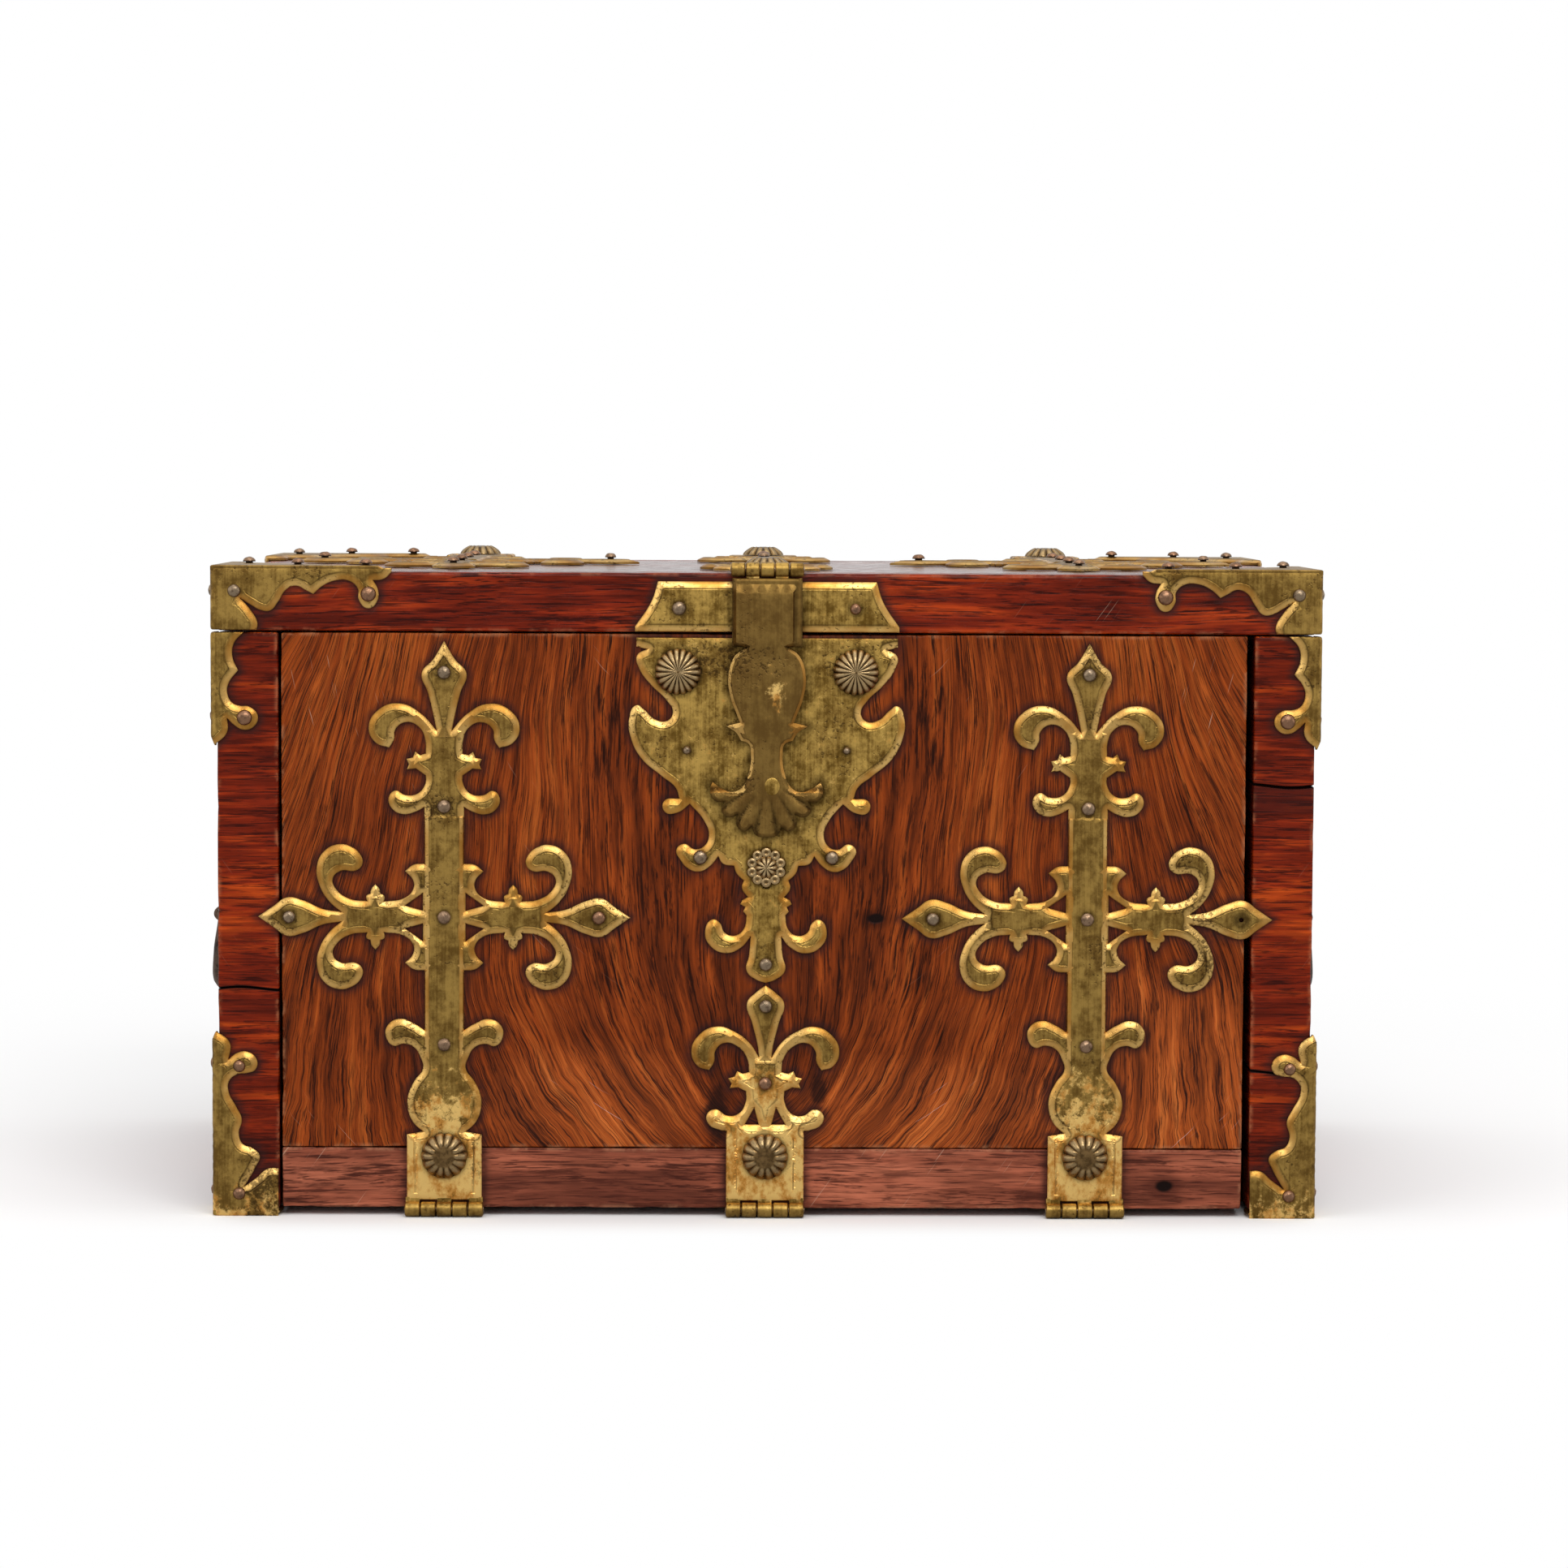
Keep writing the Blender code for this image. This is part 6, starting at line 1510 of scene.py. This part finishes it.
for side, sign in (("left", -1), ("right", 1)):
    place = flat_on((sign * (X_SIDE + SEAT), MIDDLE_Y, HANDLE_Z), (0, 1, 0), (0, 0, 1), (sign, 0, 0))
    parts = [(place(handle_sheet[0]), handle_sheet[1], {"rim": handle_sheet[2]})]
    for y in (-POST_Y, POST_Y):
        co, faces = lathe([(6.0, 1.6), (6.2, 2.6), (4.8, 3.6), (3.8, 4.6), (3.3, 6.9)], 24)
        parts.append((place(co + np.array([y, 0.0, 0.0])), faces, {"rim": 3.0}))
    plate = gathered(f"handle_back_{side}", parts, 30.0)
    # The eyes that the bail turns in: rings round its axis, standing on the posts
    eyes = []
    for y in (-POST_Y, POST_Y):
        count = 28
        co, faces = [], []
        profile = [(2.9, -3.4), (3.1, -2.6), (3.1, 2.6), (2.9, 3.4), (2.0, 3.4), (2.0, -3.4)]
        for i in range(count):
            angle = 2 * math.pi * i / count
            for r, w in profile:
                co.append((HANDLE_X * sign + r * math.cos(angle), MIDDLE_Y + y + w, HANDLE_Z + r * math.sin(angle)))
        size = len(profile)
        for i in range(count):
            j = (i + 1) % count
            for k in range(size):
                m = (k + 1) % size
                faces.append((i * size + k, j * size + k, j * size + m, i * size + m))
        eyes.append((np.array(co), faces, {"rim": 3.0}))
    eye = gathered(f"handle_eyes_{side}", eyes, 35.0)
    finish(plate, handle_iron, "carcass", "iron", f"handle_plate_{side}")
    finish(eye, handle_iron, "carcass", "iron")
    soil_and_shade(place(seated(handle_sheet[3])), side)
    heads = nail_heads(f"nails_handle_{side}", [(-15.0, 0.0), (15.0, 0.0)], place)
    finish(heads, nail_metal, "carcass", "iron")
    shoulder = POST_Y - 4.6 - 1.4
    bail_half = [
        (-POST_Y - 4.6, 0.0, PIVOT_R, 0), (-shoulder, 0.0, PIVOT_R, 0), (-shoulder + 3.0, -4.0, PIVOT_R * 1.35, 1),
        (-shoulder + 5.4, -BAIL_DROP * 0.5, BAIL_R * 0.66, 1), (-shoulder + 14.0, -BAIL_DROP * 0.9, BAIL_R * 0.78, 1),
        (-6.0, -BAIL_DROP, BAIL_R * 0.8, 1), (-4.6, -BAIL_DROP, BAIL_R, 1), (
            -2.8, -BAIL_DROP, BAIL_R * 0.82, 1
        ), (0.0, -BAIL_DROP, BAIL_R, 1),
    ]
    path = bail_half + [(-y, z, r, kind) for y, z, r, kind in reversed(bail_half) if y]
    curve = bpy.data.curves.new("bail", "CURVE")
    curve.dimensions = "3D"
    curve.bevel_depth = MM
    curve.bevel_resolution = 6
    curve.use_fill_caps = True
    curve.resolution_u = 10
    spline = curve.splines.new("BEZIER")
    spline.bezier_points.add(len(path) - 1)
    for knot, (y, z, radius, kind) in zip(spline.bezier_points, path):
        knot.co = Vector((sign * (HANDLE_X - BAIL_LEAN * z / BAIL_DROP), MIDDLE_Y + y, HANDLE_Z + z)) * MM
        knot.radius = radius
        knot.handle_left_type = knot.handle_right_type = "AUTO" if kind else "VECTOR"
    placed(f"bail_drop_{side}", curve)
    bpy.ops.object.convert(target="MESH")
    bail = bpy.context.active_object
    bpy.ops.object.mode_set(mode="EDIT")
    bpy.ops.mesh.select_all(action="SELECT")
    bpy.ops.mesh.remove_doubles(threshold=2e-6)
    bpy.ops.mesh.normals_make_consistent(inside=False)
    bpy.ops.object.mode_set(mode="OBJECT")
    bpy.ops.object.shade_smooth_by_angle(angle=math.radians(50))
    finish(bail, handle_iron, f"bail_{side}", "iron", f"bail_{side}")

# ---------------------------------------------------------------- Studio
# A pale floor under a white surround, one broad lamp above and in front and a weaker one from the right,
# and a long lens a little above the lid and left of the middle.
floor_mesh = bpy.data.meshes.new("floor")
floor_mesh.from_pydata([(-30, -30, 0), (30, -30, 0), (30, 30, 0), (-30, 30, 0)], [], [(0, 1, 2, 3)])
floor = bpy.data.objects.new("floor", floor_mesh)
bpy.context.scene.collection.objects.link(floor)
paper, tree, shader = new_material("floor_paper")
spot = add(tree, "SeparateXYZ", {0: add(tree, "TexCoord").outputs["Object"]}).outputs
reach = root_of(tree, squares(tree, spot["X"], spot["Y"]))
far = most(tree, span(tree, reach, 0.42, 0.80), span(tree, spot["Y"], -0.185, -0.136, 1.0, 0.0))
path = add(tree, "LightPath").outputs
mirror = times(tree, path["Is Glossy Ray"], 0.45)
near = times(tree, less(tree, 1.0, far), less(tree, 0.95, mirror))
tree.links.new(grey(tree, near), shader.inputs["Base Color"])
glow = times(tree, far, less(tree, 1.0, mirror))
tree.links.new(grey(tree, glow), shader.inputs["Emission Color"])
shader.inputs["Emission Strength"].default_value = 1.0
shader.inputs["Roughness"].default_value = 0.9
shader.inputs["Specular IOR Level"].default_value = 0.0
floor.data.materials.append(paper)

world = bpy.data.worlds.new("studio")
world.use_nodes = True
bpy.context.scene.world = world
tree = world.node_tree
sky = tree.nodes["Background"]
sky.inputs["Color"].default_value = (1.0, 1.0, 1.0, 1.0)
way = add(tree, "SeparateXYZ", {0: add(tree, "TexCoord").outputs["Generated"]}).outputs
path = add(tree, "LightPath").outputs
seen = most(tree, most(tree, path["Is Camera Ray"], path["Is Glossy Ray"]), path["Is Transmission Ray"])
room = most(tree, span(tree, way["Y"], -0.75, 0.1, 0.45, 0.85), span(tree, way["Z"], 0.30, 0.75, 0.0, 0.95))
room = most(tree, room, span(tree, size_of(tree, way["X"]), 0.60, 0.95, 0.0, 1.25))
room = most(tree, room, path["Is Camera Ray"])
tree.links.new(plus(tree, times(tree, seen, room), times(tree, less(tree, 1.0, seen), 0.80)), sky.inputs["Strength"])


def lamp(name, place, aim, size, watts):
    data = bpy.data.lights.new(name, "AREA")
    data.shape = "RECTANGLE"
    data.size, data.size_y = size
    data.energy = watts
    made = bpy.data.objects.new(name, data)
    made.location = place
    made.rotation_euler = (Vector(aim) - Vector(place)).to_track_quat("-Z", "Y").to_euler()
    bpy.context.scene.collection.objects.link(made)


lamp("key_lamp", (0.35, -1.7, 1.6), (0.0, -0.1, 0.12), (1.4, 0.9), 17.0)
lamp("fill_lamp", (-1.3, -1.4, 0.9), (0.0, -0.1, 0.12), (0.9, 0.9), 3.5)
lamp("top_lamp", (0.0, 0.0, 1.9), (0.0, 0.0, 0.0), (1.6, 1.2), 6.0)

lens = bpy.data.cameras.new("camera")
lens.lens = 99.85
lens.sensor_width = 36.0
camera = bpy.data.objects.new("camera", lens)
turn = (
    Matrix.Rotation(math.radians(-0.695), 4, "Z") @ Matrix.Rotation(math.radians(-4.048), 4, "X")
    @ Matrix.Rotation(math.radians(-0.279), 4, "Y") @ Matrix.Rotation(math.pi / 2, 4, "X")
)
camera.matrix_world = Matrix.Translation((-0.0142, -1.8864, 0.3003)) @ turn
bpy.context.scene.collection.objects.link(camera)
bpy.context.scene.camera = camera
bpy.context.scene.view_settings.view_transform = "Standard"
